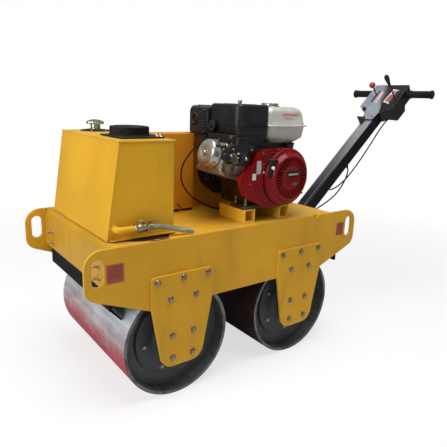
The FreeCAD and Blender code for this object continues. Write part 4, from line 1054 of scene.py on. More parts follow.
engine_red, tree, shader = new_finish("engine_red", 0.30, specular=0.12, coat=0.2, coat_roughness=0.10)
clouds = mottle(tree, 12.0, 5.0)
body = cloudy(tree, clouds, (0.150, 0.0008, 0.0010), (0.245, 0.0020, 0.0012), 0.3)
body = mix(tree, ramp(tree, mottle(tree, 24.0, 5.0), 0.50, 0.78, 0.0, 0.6), body, (0.050, 0.006, 0.006))
# Paler red along the edges: a painted highlight.
body = mix(tree, times(tree, edge_mask(tree, 0.0012), 0.30), body, (0.45, 0.07, 0.06))
rough = ramp(tree, clouds, 0.3, 0.75, 0.24, 0.42)
surface(tree, shader, body, rough, mottle(tree, 380.0, 2.0), 0.00012, 0.0012)
COWL_NEAR = -0.036
near_face = from_crank(0, COWL_NEAR, 0)


def arc(radius, start, end):
    """Points round the crank, between two angles in degrees."""
    return [tuple(polar(radius, math.radians(angle)).xy) for angle in range(start, end, -6)]


def turned(place, angle, start=(0, 0, 0)):
    """Frame that faces the near side at a start, then turns about an axis along Y through a place."""
    return Matrix.Translation(place) @ Matrix.Rotation(angle, 4, "Y") @ wall(start)


def arc_rib(work, radius, start, end, near, width=0.0028, lift=0.0035):
    """Raised rib pressed round the crank, between two angles in degrees, fading at its ends."""
    count = max(6, int(abs(end - start) / 3))
    rings = []
    for step in range(count + 1):
        angle = math.radians(start + (end - start) * step / count)
        rise = lift * min(1.0, 3.0 * min(step, count - step) / count + 0.12)
        ring = []
        for turn in range(6):
            out = radius + width * math.cos(math.pi * turn / 5)
            lifted = near + rise * math.sin(math.pi * turn / 5) - 0.0004
            ring.append(work.verts.new(CRANK + side_polar(out, angle, lifted)))
        rings.append(ring)
    skin(work, rings, closed=False)


cowl = bmesh.new()
fan = rounded([(0.0, 0.112), (0.077, 0.112), (0.132, 0.100), (0.158, 0.058), (0.232, 0.004), (0.206, -0.058),
               (0.150, -0.090), (0.090, -0.1160), (0.0, -0.1160)],
              (0, 0.012, 0.010, 0.012, 0.014, 0.018, 0.030, 0.020, 0.020))
outline_slab(cowl, near_side(fan + arc(0.112, 246, 92)), wall(near_face - Y * 0.018), 0.018, -0.006, 4)
inner = rounded([(0.0, 0.106), (0.076, 0.106), (0.128, 0.095), (0.148, 0.053), (0.206, 0.002),
                 (0.183, -0.049), (0.069, -0.0980), (0.0, -0.0980)],
                (0, 0.010, 0.008, 0.012, 0.012, 0.012, 0.010, 0))
outline_slab(cowl, near_side(inner + arc(0.108, 246, 94)), wall(near_face - Y * 0.045), 0.028)
for radius, start, end in ((0.1200, 64, -50), (0.1300, 52, -40)):
    arc_rib(cowl, radius, start, end, COWL_NEAR)
for across, above, length in ((0.080, 0.095, 0.050), (0.078, 0.086, 0.046), (0.076, 0.077, 0.040)):
    stand = turned(from_crank(across, COWL_NEAR - 0.0005, above), 0.12)
    outline_slab(cowl, bar(length, 0.0032, 0.0015, 3), stand, 0.0028, -0.0010)
make_piece("fan_cover_red", cowl, engine_red, ("fan_cover",))

SLATS = 38
starter = bmesh.new()
turn_on(starter, [(0.0, 0.1120), (0.0085, 0.1120), (0.0112, 0.1105), (0.0122, 0.1080), (0.0140, 0.1010),
                  (0.0195, 0.0950), (0.0275, 0.0905), (0.0325, 0.0882), (0.0350, 0.0855), (0.0358, 0.0820),
                  (0.0354, 0.0792), (0.0325, 0.0784), (0.0190, 0.0784)], near_face, Y, 120)
turn_on(starter, [(0.0190, 0.0470), (0.0325, 0.0462), (0.0346, 0.0448), (0.0352, 0.0425), (0.0340, 0.0400),
                  (0.0335, 0.0390), (0.0335, 0)], near_face, Y, 96)
for angle in full_turn(SLATS):
    outline_slab(starter, oblong(-0.0180, 0.0178, -0.0021, 0.0021, 0.0008, 2),
                 turned(near_face, -angle, (0.0620, 0.0195, 0)), 0.0148, -0.0010)
for start in (200, 290, 20, 110):
    arc_rib(starter, 0.1030, start, start + 50, -0.0232, 0.0016, 0.0014)
make_piece("recoil_starter_red", starter, engine_red, ("recoil_starter",))

fan_dark = dark_enamel("fan_dark", (0.006, 0.005, 0.005), 0.7, (0.05, 0.04, 0.04), 0.0008, 0.3, 0.1)
dark = bmesh.new()
turn_on(dark, [(0.0192, 0.0784), (0.0192, 0)], near_face, Y, 64)
turn_on(dark, [(-0.001, 0.1128), (0.0035, 0.1135), (0.0035, 0.1115)], near_face, Y, 96)
outline_slab(dark, oblong(-0.0285, 0.0285, -0.0100, 0.0115, 0.003),
             wall(from_crank(-0.0085, -0.0027, 0.0145)), 0.0016, -0.0008)
outline_slab(dark, rounded([(-0.103, 0.006), (-0.070, 0.004), (-0.066, 0.072), (-0.095, 0.075)], 0.004, 4),
             wall(from_crank(0, -0.034, 0)), 0.0240, -0.0016)
make_piece("starter_black_parts", dark, fan_dark)
badge_silver = steel_finish("badge_silver", (0.62, 0.63, 0.62), 0.3, 0.9)
badge = bmesh.new()
outline_slab(badge, bar(0.0520, 0.0072, 0.0010), wall(from_crank(-0.0085, -0.0012, 0.0145)), 0.0012, -0.0005)
make_piece("starter_name_bar_blank", badge, badge_silver)
badge_green = plain_finish("badge_green", (0.035, 0.085, 0.045), (0.06, 0.12, 0.07), 0.4, 120.0)
badge = bmesh.new()
oval = [(0.0150 * math.cos(angle), 0.0062 * math.sin(angle)) for angle in full_turn(40)]
outline_slab(badge, oval, wall(from_crank(-0.0205, -0.0025, -0.0240)), 0.0012, -0.0004)
make_piece("starter_oval_blank", badge, badge_green)

# The engine switch on its black plate, its knob, two blank labels and the cowl's screws.
switch_white = plain_finish("switch_white", (0.74, 0.73, 0.70), (0.50, 0.48, 0.44), 0.45, 60.0, high=0.75)
knob = bmesh.new()
turn_on(knob, [(-0.001, 0.0066), (0.0050, 0.0062), (0.0062, 0.0050), (0.0062, 0)],
        from_crank(0.0920, -0.010, 0.0425), Y, 28)
outline_slab(knob, bar(0.0028, 0.0140, 0.0008), wall(from_crank(0.0920, -0.0048, 0.0425)), 0.0036, -0.0008)
outline_slab(knob, bar(0.0176, 0.0240, 0.0012), wall(from_crank(0.1600, COWL_NEAR, 0.0095)), 0.0006)
turn_on(knob, [(0.0, 0.0040), (0.0030, 0.0040), (0.0036, 0.0030), (0.0036, 0)],
        from_crank(0.1155, COWL_NEAR, 0.0240), Y, 20)
make_piece("switch_knob_and_labels", knob, switch_white)
label_grey = plain_finish("label_grey", (0.47, 0.46, 0.45), (0.33, 0.32, 0.31), 0.4, 70.0, high=0.75)
label = bmesh.new()
outline_slab(label, bar(0.0210, 0.0490, 0.0012), wall(from_crank(0.1390, COWL_NEAR, 0.0440)), 0.0006)
make_piece("cowl_label_blank", label, label_grey)
screws = bmesh.new()
for across, above in ((0.100, -0.088), (0.178, -0.020), (0.120, 0.092), (0.045, 0.1035), (0.040, -0.0960)):
    hex_bolt(screws, from_crank(across, COWL_NEAR, above), Y, 0.008, above * 30, 0.013)
for angle in full_turn(3, math.radians(100)):
    hex_bolt(screws, near_face + side_polar(0.1045, angle, 0.0118), Y, 0.007, angle, 0.0105)
make_piece("cowl_screws", screws, engine_red)

# ======== fuel tank and cap ========
# Two pressed steel halves seamed together at a rolled flange, in silver paint that fuel has
# yellowed. The cap turns on a plated neck; the tank sits on black brackets over the engine.

fuel_silver, tree, shader = new_finish("fuel_tank_silver", 0.30, 0.35, coat=0.10, coat_roughness=0.20)
clouds = mottle(tree, 9.0, 5.0)
body = cloudy(tree, clouds, (0.66, 0.66, 0.61), (0.53, 0.52, 0.46))
# Darker towards the bottom: painted shade where the air cleaner's shadow falls on the tank's lower half.
body = mix(tree, darker_below(tree, clouds, 0.02, 0.962, 0.905, 0.55), body, (0.20, 0.185, 0.145))
body = mix(tree, ramp(tree, mottle(tree, 60.0, 5.0), 0.60, 0.78, 0.0, 0.4), body, (0.24, 0.20, 0.13))
body = mix(tree, times(tree, edge_mask(tree, 0.002), 0.25), body, (0.82, 0.82, 0.80))
rough = ramp(tree, clouds, 0.3, 0.75, 0.36, 0.50)
surface(tree, shader, body, rough, mottle(tree, 420.0, 2.0), 0.00010, 0.0015)
FUEL_LEFT, FUEL_RIGHT, FUEL_FAR, FUEL_NEAR = -0.340 + MIDDLE, -0.137 + MIDDLE, 0.078, 0.250
# Each level of the tank: its height, how far its rear end is in, and how far its sides are.
FUEL_LEVELS = (
    (0.893, 0.052, 0.026), (0.8945, 0.047, 0.021), (0.899, 0.036, 0.0155), (0.913, 0.009, 0.0070),
    (0.918, 0.0060, 0.0055), (0.9565, 0.0012, 0.0012), (0.9578, -0.0005, -0.0005), (0.9580, -0.0066, -0.0066),
    (0.9590, -0.0072, -0.0072), (0.9612, -0.0072, -0.0072), (0.9622, -0.0066, -0.0066),
    (0.9624, -0.0005, -0.0005), (0.9640, 0.0010, 0.0010), (1.005, 0.0105, 0.0070), (1.0140, 0.0140, 0.0095),
    (1.0215, 0.0185, 0.0140), (1.0272, 0.0245, 0.0200), (1.0308, 0.0330, 0.0285), (1.0322, 0.0440, 0.0390),
    (1.0325, 0.0600, 0.0550))
outlines = []
for height, behind, around in FUEL_LEVELS:
    inward = max(around, 0.0)
    ring = oblong(FUEL_LEFT + behind, FUEL_RIGHT - inward, FUEL_FAR + around, FUEL_NEAR - around,
                  max(0.010, 0.018 - inward * 0.15), 8)
    outlines.append([(x, y, height) for x, y in ring])
tank = bmesh.new()
loft(tank, outlines)
make_piece("fuel_tank_shell", tank, fuel_silver, ("fuel_tank",))

FUEL_NECK = above_middle("fuel_cap", 1.0322)
neck = bmesh.new()
turn_on(neck, [(-0.001, 0.0400), (0.0022, 0.0395), (0.0038, 0.0360), (0.0042, 0.0320), (0.0042, 0)],
        FUEL_NECK, Z, 60)
make_piece("fuel_neck_plate", neck, plated)
cap_grey = steel_finish("fuel_cap_steel", (0.34, 0.33, 0.31), 0.34, 0.85, (0.10, 0.085, 0.06), 0.6)
FUEL_CAP = [(0.0040, 0.0300), (0.0046, 0.0335, 0.0016), (0.0105, 0.0335, 0.0018), (0.0125, 0.0318, 0.0012),
            (0.0132, 0.0285), (0.0122, 0.0262), (0.0118, 0.0200), (0.0126, 0.0100)]
cap = bmesh.new()
close_ends(cap, turn_on(cap, FUEL_CAP, FUEL_NECK, Z, 144, groove=fluted(12)))
make_piece("fuel_cap_body", cap, cap_grey, ("fuel_cap",))

label_orange = plain_finish("label_orange", (0.60, 0.20, 0.10), (0.52, 0.30, 0.20), 0.42, 130.0)
stand = level(1.000, MIDDLE, 0.2440) @ Matrix.Rotation(0.155, 4, "X") @ wall((0, 0, 0))
for name, finish, edges in (("fuel_label_stripe", label_orange, (0.212, 0.302, 0.0010, 0.0080)),
                            ("fuel_label_blank", label_grey, (0.222, 0.272, -0.0120, -0.0065))):
    label = bmesh.new()
    outline_slab(label, oblong(*edges, 0.001), stand, 0.0008)
    make_piece(name, label, finish)

bracket_black = dark_enamel("bracket_black", (0.012, 0.012, 0.012), 0.5, (0.16, 0.13, 0.10), 0.0012, 0.5, 0.2)
BRACKET_FOOT = 0.866
brackets = bmesh.new()
bolts = bmesh.new()
for x in (-0.271, -0.140):
    web = rounded([(-0.012, 0), (0.012, 0), (0.018, 0.028), (-0.018, 0.028)], 0.003)
    outline_slab(brackets, web, wall((x + MIDDLE, 0.236, BRACKET_FOOT)), 0.005, 0.0008)
    outline_slab(brackets, bar(0.040, 0.130, 0.004), level(0.890, x + MIDDLE, 0.176), 0.0045, 0.0008)
    outline_slab(brackets, bar(0.024, 0.110, 0.004), level(BRACKET_FOOT, x + MIDDLE, 0.176), 0.0045, 0.0008)
    for y in (0.226, 0.130):
        hex_bolt(bolts, (x + MIDDLE, y, 0.8705), Z, 0.008, x * 30, 0.012)
# A long black plate under the fuel tank: a dark sheet that stands for the shade beneath the tank.
outline_slab(brackets, oblong(-0.300, -0.118, 0.206, 0.218, 0.002), level(BRACKET_FOOT, MIDDLE),
             0.028, 0.0008)
make_piece("fuel_tank_brackets", brackets, bracket_black)
for x, y, z in ((-0.002, 0.225, 0.960), (0.004, 0.190, 0.914)):
    turn_on(bolts, [(0, 0.0026), (0.017, 0.0026), (0.018, 0.0018), (0.018, 0)], (FUEL_LEFT + x, y, z), -X, 10)
make_piece("fuel_tank_bolts", bolts, bolt_steel)

# ======== air cleaner ========
# A moulded black box in two parts, its lid drawn down over the base by one knurled knob. The
# intake elbow and the governor's plates below it are black too.

cleaner_black = moulded_plastic("air_cleaner_black", (0.0045, 0.0046, 0.0052), 0.36, 260.0, 0.0003, 0.06)
air_low, air_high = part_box("air_cleaner")
air_high.x += 0.006
air_low.y -= 0.012
LID_TOP = 1.038


def air_outline(inset, corner, steps=10):
    """Outline of the air cleaner, drawn in from its widest."""
    return oblong(air_low.x + inset, air_high.x - inset, air_low.y + inset, air_high.y - inset, corner, steps)


air = bmesh.new()
loft(air, [[(x, y, height) for x, y in air_outline(inset, corner)] for height, inset, corner in (
    (0.928, 0.006, 0.016), (0.9295, 0.0035, 0.018), (0.935, 0.0020, 0.019), (0.9570, 0.0012, 0.020),
    (0.9578, 0.0030, 0.019), (0.9590, 0.0030, 0.019), (0.9598, 0.0, 0.022), (0.9640, 0.0, 0.022),
    (LID_TOP - 0.012, 0.0008, 0.022), (LID_TOP - 0.0060, 0.0020, 0.021), (LID_TOP - 0.0022, 0.0046, 0.019),
    (LID_TOP - 0.0005, 0.0080, 0.016), (LID_TOP, 0.0125, 0.013))])
outline_slab(air, air_outline(0.035, 0.018, 6), level(LID_TOP - 0.0005), 0.0016, -0.0012)
make_piece("air_cleaner_box", air, cleaner_black, ("air_cleaner",))
lid_middle = (air_low + air_high) / 2
lid_middle.z = LID_TOP + 0.001
knob = bmesh.new()
turn_on(knob, [(0, 0.0052), (0.005, 0.0052), (0.005, 0)], lid_middle, Z, 20)
turn_on(knob, [(0.0020, 0.0072), (0.0035, 0.0084), (0.0120, 0.0084), (0.0135, 0.0072), (0.0137, 0)],
        lid_middle, Z, 14)
make_piece("air_cleaner_knob", knob, cap_grey)
base = bmesh.new()
seat = oblong(air_low.x + 0.010, air_high.x + 0.020, air_low.y + 0.012, air_high.y - 0.004, 0.022, 8)
outline_slab(base, seat, level(0.9030), 0.0250, 0.003)
outline_slab(base, oblong(-0.110, 0.036, 0.150, 0.2520, 0.016), level(0.8800, MIDDLE), 0.0240, 0.003)
elbow = rounded([(-0.030, -0.030), (0.030, -0.030), (0.036, 0.040), (-0.020, 0.040)], 0.010, 4)
outline_slab(base, elbow, wall((0.004 + MIDDLE, 0.2380, 0.880)), 0.030, 0.003)
# This black plate stands partly for the governor's plate and partly for painted shade under the fuel tank.
plate = rounded([(-0.150, 0.862), (-0.062, 0.862), (-0.052, 0.900), (-0.160, 0.900)], 0.006, 3)
outline_slab(base, near_side(plate), wall((MIDDLE, 0.244, 0)), 0.004, 0.0008)
make_piece("intake_base", base, cleaner_black)
knob = bmesh.new()
seat = Vector((0.012 + MIDDLE, 0.116, 0.953))
turn_on(knob, [(0, 0.0085), (0.010, 0.0085), (0.010, 0.0180), (0.0125, 0.0215), (0.0240, 0.0220),
               (0.0268, 0.0195), (0.0272, 0.0150), (0.0255, 0.0120), (0.0255, 0)], seat, X, 40)
outline_slab(knob, bar(0.0060, 0.0250, 0.0015), pointing(seat + X * 0.0250, X, 0.5), 0.0035, -0.0008)
make_piece("air_valve_knob", knob, cleaner_black)

# ======== muffler and exhaust ========
# A pressed steel box with a louvred front, in heat-dulled black, and a short outlet rusted
# by its gas. Its cast elbow comes up from the cylinder's port.

muffler_black = dark_enamel("muffler_black", (0.0055, 0.0060, 0.0072), 0.42, (0.10, 0.08, 0.065), 0.0018,
                            0.4, 0.08)
muffler_low, muffler_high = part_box("muffler")
MUFFLER_FRONT = 0.032 + MIDDLE
OUTLET = Vector((MUFFLER_FRONT, 0.0065, 0.979))
END_ROUND = ((0.0, 0.011), (0.0015, 0.0055), (0.006, 0.0015), (0.010, 0.0010))
rows = [(muffler_low.y + along, inset) for along, inset in END_ROUND]
rows += [(0.0130, 0.0010), (0.0140, -0.0012), (0.0172, -0.0012), (0.0182, 0.0010)]
rows += [(muffler_high.y - along, inset) for along, inset in reversed(END_ROUND)]
outlines = []
for along, inset in rows:
    ring = oblong(muffler_low.x + inset, MUFFLER_FRONT - inset, muffler_low.z + inset,
                  muffler_high.z - inset, 0.018)
    outlines.append([(x, along, z) for x, z in ring])
body = bmesh.new()
loft(body, outlines)
front = face_frame((MUFFLER_FRONT, 0, 0), Y, Z)
outline_slab(body, oblong(-0.036, 0.073, 0.918, 1.015, 0.010, 5), front, 0.0032, -0.0018)
for number in range(6):
    louvre = front @ level(0.0030, 0.0495, 0.9450 + number * 0.011) @ Matrix.Rotation(-0.50, 4, "X")
    outline_slab(body, bar(0.0330, 0.0056, 0.0022, 4), louvre, 0.0042, -0.0012)
for along in (-0.015, 0.015, 0.045):
    rib = oblong(muffler_low.x + 0.02, MUFFLER_FRONT - 0.02, -0.004, 0.004, 0.004, 4)
    outline_slab(body, rib, level(muffler_high.z - 0.0015, 0, along), 0.0030, -0.0016)
outline_slab(body, oblong(-0.045, 0.082, 0.907, 0.915, 0.003, 3), front, 0.005, -0.001)
turn_on(body, [(-0.001, 0.0285), (0.0036, 0.0280), (0.0046, 0.0262), (0.0046, 0.0205)], OUTLET, X, 48)
for above in (0.925, 1.008):
    hex_bolt(body, (MUFFLER_FRONT + 0.0032, 0.066, above), X, 0.008, above * 40, 0.012)
hex_bolt(body, OUTLET + Vector((0.0046, -0.006, -0.0240)), X, 0.007, 0.3, 0.010)
make_piece("muffler_box", body, muffler_black, ("muffler",))
outlet_rust = cast_metal("outlet_rust", (0.075, 0.046, 0.030), (0.026, 0.014, 0.008), 0.75, 0.3)
outlet = bmesh.new()
turn_on(outlet, [(-0.0060, 0.0165), (0.0080, 0.0165), (0.0098, 0.0175), (0.0102, 0.0190), (0.0092, 0.0203),
                 (0.0020, 0.0205)], OUTLET, X, 44)
turn_on(outlet, [(-0.0050, 0.0168), (-0.0050, 0)], OUTLET, X, 44)
make_piece("muffler_outlet", outlet, outlet_rust)
elbow_iron = cast_metal("elbow_iron", (0.12, 0.085, 0.065), (0.035, 0.020, 0.014), 0.75, 0.3)
dress("exhaust_elbow", elbow_iron)
elbow_low, elbow_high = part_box("exhaust_elbow")
side_port = Vector((-0.010 + MIDDLE, elbow_high.y - 0.008, elbow_low.z + (elbow_high.x - elbow_low.x) / 2))
top_port = Vector((side_port.x, 0.058, muffler_low.z - 0.008))
flange = bmesh.new()
outline_slab(flange, bar(0.068, 0.038, 0.016), wall(side_port), 0.008, 0.001)
outline_slab(flange, bar(0.038, 0.068, 0.016), Matrix.Translation(top_port), 0.008, 0.001)
make_piece("exhaust_flanges", flange, elbow_iron)
nuts = bmesh.new()
for sign in SIDES:
    hex_bolt(nuts, side_port + X * (sign * 0.026), -Y, 0.009, 0.2, 0.013)
    hex_bolt(nuts, top_port + Y * (sign * 0.026), -Z, 0.009, 0.4, 0.013)
make_piece("exhaust_flange_nuts", nuts, bolt_steel)

# ======== carburettor ========
# A die-cast body on the head's near side, its float bowl below, with black linkage plates,
# plated screws and a choke lever.

carb_alloy = cast_metal("carburettor_alloy", (0.20, 0.165, 0.11), (0.050, 0.030, 0.014), 0.40, 0.8)
carb = bmesh.new()
plate = rounded([(-0.064, 0.816), (-0.001, 0.816), (0.019, 0.834), (0.019, 0.892), (-0.064, 0.892)], 0.006, 3)
outline_slab(carb, plate, wall((MIDDLE - 0.022, 0.2400, 0)), 0.014, 0.0015)
turn_on(carb, [(0, 0), (0, 0.0230), (0.022, 0.0235), (0.024, 0.0215), (0.030, 0.0200), (0.030, 0)],
        Vector((0.030 + MIDDLE, 0.252, 0.845)) - Y * 0.012, Y, 36)
turn_on(carb, [(0, 0), (0, 0.0120), (0.003, 0.0175), (0.008, 0.0200), (0.030, 0.0208), (0.032, 0.0230),
               (0.036, 0.0230), (0.036, 0)], (0.050 + MIDDLE, 0.250, 0.790), Z, 36)
turn_on(carb, [(0, 0), (0, 0.0060), (0.006, 0.0065), (0.006, 0)], (0.050 + MIDDLE, 0.250, 0.784), Z, 6)
turn_on(carb, [(0, 0.0070), (0.020, 0.0070), (0.021, 0.0055), (0.021, 0)],
        (0.034 + MIDDLE, 0.236, 0.808), Y, 20)
make_piece("carburettor_body", carb, carb_alloy, ("carburettor",))
LINKAGE = 0.2600
linkage = bmesh.new()
arm = [(-0.060, 0.862), (0.074, 0.836), (0.096, 0.850), (0.090, 0.876), (0.040, 0.896), (-0.020, 0.900),
       (-0.060, 0.886)]
cover = [(-0.028, 0.822), (0.012, 0.818), (0.030, 0.862), (-0.024, 0.868)]
choke = [(0.060, 0.878), (0.118, 0.892), (0.120, 0.899), (0.060, 0.888)]
for points, corner, lift, thick, bevel in (
        (arm, 0.006, 0.0, 0.004, 0.0008), (cover, 0.006, 0.004, 0.006, 0.0010),
        (choke, 0.003, 0.0, 0.003, 0.0006)):
    stand = wall((MIDDLE, LINKAGE, 0)) @ level(lift)
    outline_slab(linkage, near_side(rounded(points, corner, 3)), stand, thick, bevel)
turn_on(linkage, [(0, 0), (0, 0.0160), (0.010, 0.0160), (0.012, 0.0140), (0.012, 0)],
        (-0.012 + MIDDLE, LINKAGE, 0.843), Y, 28)
turn_on(linkage, [(0, 0), (0, 0.0115), (0.014, 0.0110), (0.016, 0.0090), (0.016, 0)],
        (0.078 + MIDDLE, LINKAGE - 0.004, 0.856), Y, 24)
tube_along(linkage, route((74, 245, 872), (80, 236, 892), (78, 222, 906), (66, 205, 910)), 0.0042, 12)
COILS, COIL_STEPS, COIL_RADIUS = 13, 160, 0.0035
spring = []
for step in range(COIL_STEPS + 1):
    share = step / COIL_STEPS
    coil = polar(COIL_RADIUS, share * 2 * math.pi * COILS)
    spring.append((MIDDLE - 0.050 - 0.070 * share, 0.262 + coil.y, 0.874 + coil.x))
tube_along(linkage, spring, 0.0006, 6)
make_piece("carburettor_linkage", linkage, bracket_black)
screws = bmesh.new()
for x, out, z, size in ((0.0515, 0.266, 0.857, 0.0052), (0.020, 0.2700, 0.863, 0.0046),
                        (-0.014, 0.2735, 0.843, 0.0060), (0.022, 0.2700, 0.848, 0.0042),
                        (0.040, 0.2640, 0.880, 0.0040), (-0.046, 0.2640, 0.874, 0.0042)):
    turn_on(screws, [(-0.003, size), (0.0015, size), (0.0030, size * 0.8), (0.0034, 0)],
            (x + MIDDLE, out, z), Y, 18)
make_piece("carburettor_screws", screws, plated)

# ======== throttle cable ========
# A Bowden cable in a black sheath from the carburettor's bracket, over the cylinder and in a
# loop to a block on the deck.

sheath_black = plain_finish("cable_sheath_black", (0.006, 0.006, 0.006), (0.014, 0.013, 0.012), 0.5, 60.0,
                            3.0, grain=(300.0, 3.0), depth=0.0002, specular=0.2)
THROTTLE_ROUTE = route((-3, 240, 916), (-3, 213, 916), (-1, 178, 918), (10, 143, 921), (38, 117, 917),
                       (75, 101, 891), (109, 88, 853), (134, 78, 813), (142, 72, 775), (136, 68, 737),
                       (114, 65, 702), (81, 62, 671), (41, 59, 646), (2, 55, 626), (-30, 51, 613),
                       (-54, 50, 608), (-76, 50, 608))
cable = cord_curve("throttle_cable_sheath", THROTTLE_ROUTE, 0.003, sheath_black)
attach(cable, "chassis")
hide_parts("throttle_cable")
ends = bmesh.new()
turn_on(ends, [(0, 0.0046), (0.008, 0.0046), (0.020, 0.0033), (0.020, 0.0029)], THROTTLE_ROUTE[0], -Y, 24)
turn_on(ends, [(0, 0.0052), (0.010, 0.0052), (0.024, 0.0034), (0.024, 0.0029)], THROTTLE_ROUTE[-1], X, 24)
make_piece("throttle_cable_sleeves", ends, sheath_black)
dress("cable_block", plug_black)
block_top = above_middle("cable_block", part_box("cable_block")[1].z)
bolt_group("cable_block_screw", [(block_top - X * 0.007, 0.3)], Z, 0.006, 0.009)

# ======== hydraulic pump ========
# A cast iron pump with a round nose, bolted up to the underside of the deck. Its two spare ports
# are closed with hexagon plugs.

pump_iron = cast_metal("pump_iron", (0.055, 0.052, 0.050), (0.026, 0.020, 0.014), 0.6, 0.4)
dress("hydraulic_pump", pump_iron)
pump_low, pump_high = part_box("hydraulic_pump")
plugs = bmesh.new()
for along in (-0.115, -0.065):
    seat = Vector((0.110 + MIDDLE, along, (pump_low.z + pump_high.z) / 2))
    turn_on(plugs, [(0, 0.0150), (0.004, 0.0150), (0.005, 0.0140)], seat, -X, 32)
    turn_on(plugs, [(0.0045, 0.0120), (0.0150, 0.0120), (0.0165, 0.0105), (0.0165, 0)], seat, -X, 6)
make_piece("pump_port_plugs", plugs, bolt_steel)
seats = [((x + MIDDLE, y, pump_low.z), x * 20) for x in (0.118, 0.222) for y in (-0.142, -0.038)]
bolt_group("pump_bolts", seats, -Z, 0.010, 0.015)

# ======== handle bracket ========
# Two steel lugs welded to a plate that is bolted to the rear panel, with the handle's pivot
# pin and the bar that it rests on. Black paint, worn round the pin.

bracket_paint = dark_enamel("handle_bracket_paint", (0.015, 0.015, 0.016), 0.45, (0.22, 0.20, 0.18), 0.002,
                            0.6, 0.3)
dress("handle_bracket", bracket_paint)
PIVOT = Vector((-0.545 + MIDDLE, 0, 0.450))
bracket_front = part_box("handle_bracket")[1].x
welds = bmesh.new()
for y in (-0.045, -0.035, 0.035, 0.045):
    foot = Vector((bracket_front - 0.0085, y, PIVOT.z))
    straight_bead(welds, foot - Z * 0.048, foot + Z * 0.057, 0.0024)
make_piece("bracket_welds", welds, bracket_paint)
bolts = bmesh.new()
for side in SIDES:
    for above in (-0.038, 0.058):
        seat = (bracket_front - 0.008, side * 0.0640, PIVOT.z + above)
        hex_bolt(bolts, seat, -X, 0.014, above * 30, 0.020)
    turn_on(bolts, [(0, 0.0130), (0.0022, 0.0130), (0.0028, 0.0120), (0.0028, 0)],
            PIVOT + Y * (side * 0.0528), Y * side, 32)
    split_pin = [PIVOT + Vector((x, side * 0.0490, z)) for x, z in ((0, 0.014), (0, -0.016), (0.004, -0.020))]
    tube_along(bolts, split_pin, 0.0016, 10)
make_piece("bracket_bolts", bolts, bolt_steel)

# ======== handle column ========
# A square steel tube with a boss across its foot for the pivot pin, painted black; its upper
# face is painted lighter grey as a painted sheen, most of all near the top, with a thin painted
# highlight line along it.

ANGLE = math.radians(42.5)
UP = Vector((-math.cos(ANGLE), 0, math.sin(ANGLE)))
OUT = Vector((math.sin(ANGLE), 0, math.cos(ANGLE)))


def on_handle(up, out, y=0.0):
    """Point on the handle: up the column from its pivot, and out from the axis, in metres."""
    return PIVOT + UP * up + OUT * out + Y * y


def handle_part(tree, along):
    """Distance from the pivot along a direction of the handle, for its finishes."""
    dot = new_node(tree, "VectorMath", new_node(tree, "TexCoord").outputs["Object"], along)
    dot.operation = "DOT_PRODUCT"
    return math_node(tree, "SUBTRACT", dot.outputs["Value"], PIVOT.dot(along))


column_black, tree, shader = new_finish("column_black", 0.42, specular=0.18)
clouds = mottle(tree, 12.0, 5.0)
streaks = mottle(tree, 30.0, 5.0, (0.12, 1, 0.12), 0.6)
# The upper face's lighter grey, lightest near the top, is a painted sheen; darker streaks run through it.
painted_sheen = mix(tree, ramp(tree, handle_part(tree, UP), 0.16, 0.78), (0.018, 0.019, 0.021), (0.25, 0.265, 0.28))
painted_sheen = mix(tree, ramp(tree, streaks, 0.48, 0.66, 0.0, 0.6), painted_sheen, (0.085, 0.085, 0.088))
across = object_axes(tree)[1]
# A thin light line along the upper face: a painted highlight.
highlight_line = times(tree, ramp(tree, across, 0.0135, 0.0150), ramp(tree, across, 0.0185, 0.0165))
highlight_line = times(tree, highlight_line, ramp(tree, streaks, 0.35, 0.55, 0.2, 0.8))
painted_sheen = mix(tree, highlight_line, painted_sheen, (0.34, 0.35, 0.36))
upper_face = ramp(tree, handle_part(tree, OUT), 0.0292, 0.0298)
body = mix(tree, upper_face, cloudy(tree, clouds, (0.0035, 0.0035, 0.0040), (0.009, 0.0085, 0.008)), painted_sheen)
edges = times(tree, edge_mask(tree, 0.0022), ramp(tree, streaks, 0.3, 0.6, 0.15, 0.75))
body = mix(tree, edges, body, (0.24, 0.245, 0.25))
surface(tree, shader, body, ramp(tree, clouds, 0.3, 0.75, 0.34, 0.52), streaks, 0.0003, 0.002)
dress("handle_column", column_black)
handle_black = dark_enamel("handle_black", (0.008, 0.0075, 0.0065), 0.36, (0.15, 0.13, 0.10), 0.0014, 0.5,
                           0.12)
column = bmesh.new()
straight_bead(column, on_handle(0.010, -0.0305, -0.024), on_handle(0.010, -0.0305, 0.024), 0.0026)
for side in SIDES:
    start = on_handle(0.012, 0.0305, side * 0.028)
    straight_bead(column, start, start + UP * 0.028, 0.0016)
    turn_on(column, [(0, 0.0270), (0.0022, 0.0262), (0.0022, 0.0120), (0, 0.0115)],
            PIVOT + Y * (side * 0.0298), Y * side, 48)
make_piece("column_foot_beads", column, handle_black, body="handle")

# ======== console ========
# A folded steel box at the column's end, with a cable box below it and a screwed cover. The
# cover's print is silver round the vibration lever and black beyond. Its labels carry no words,
# only two plain red blocks on the white one.

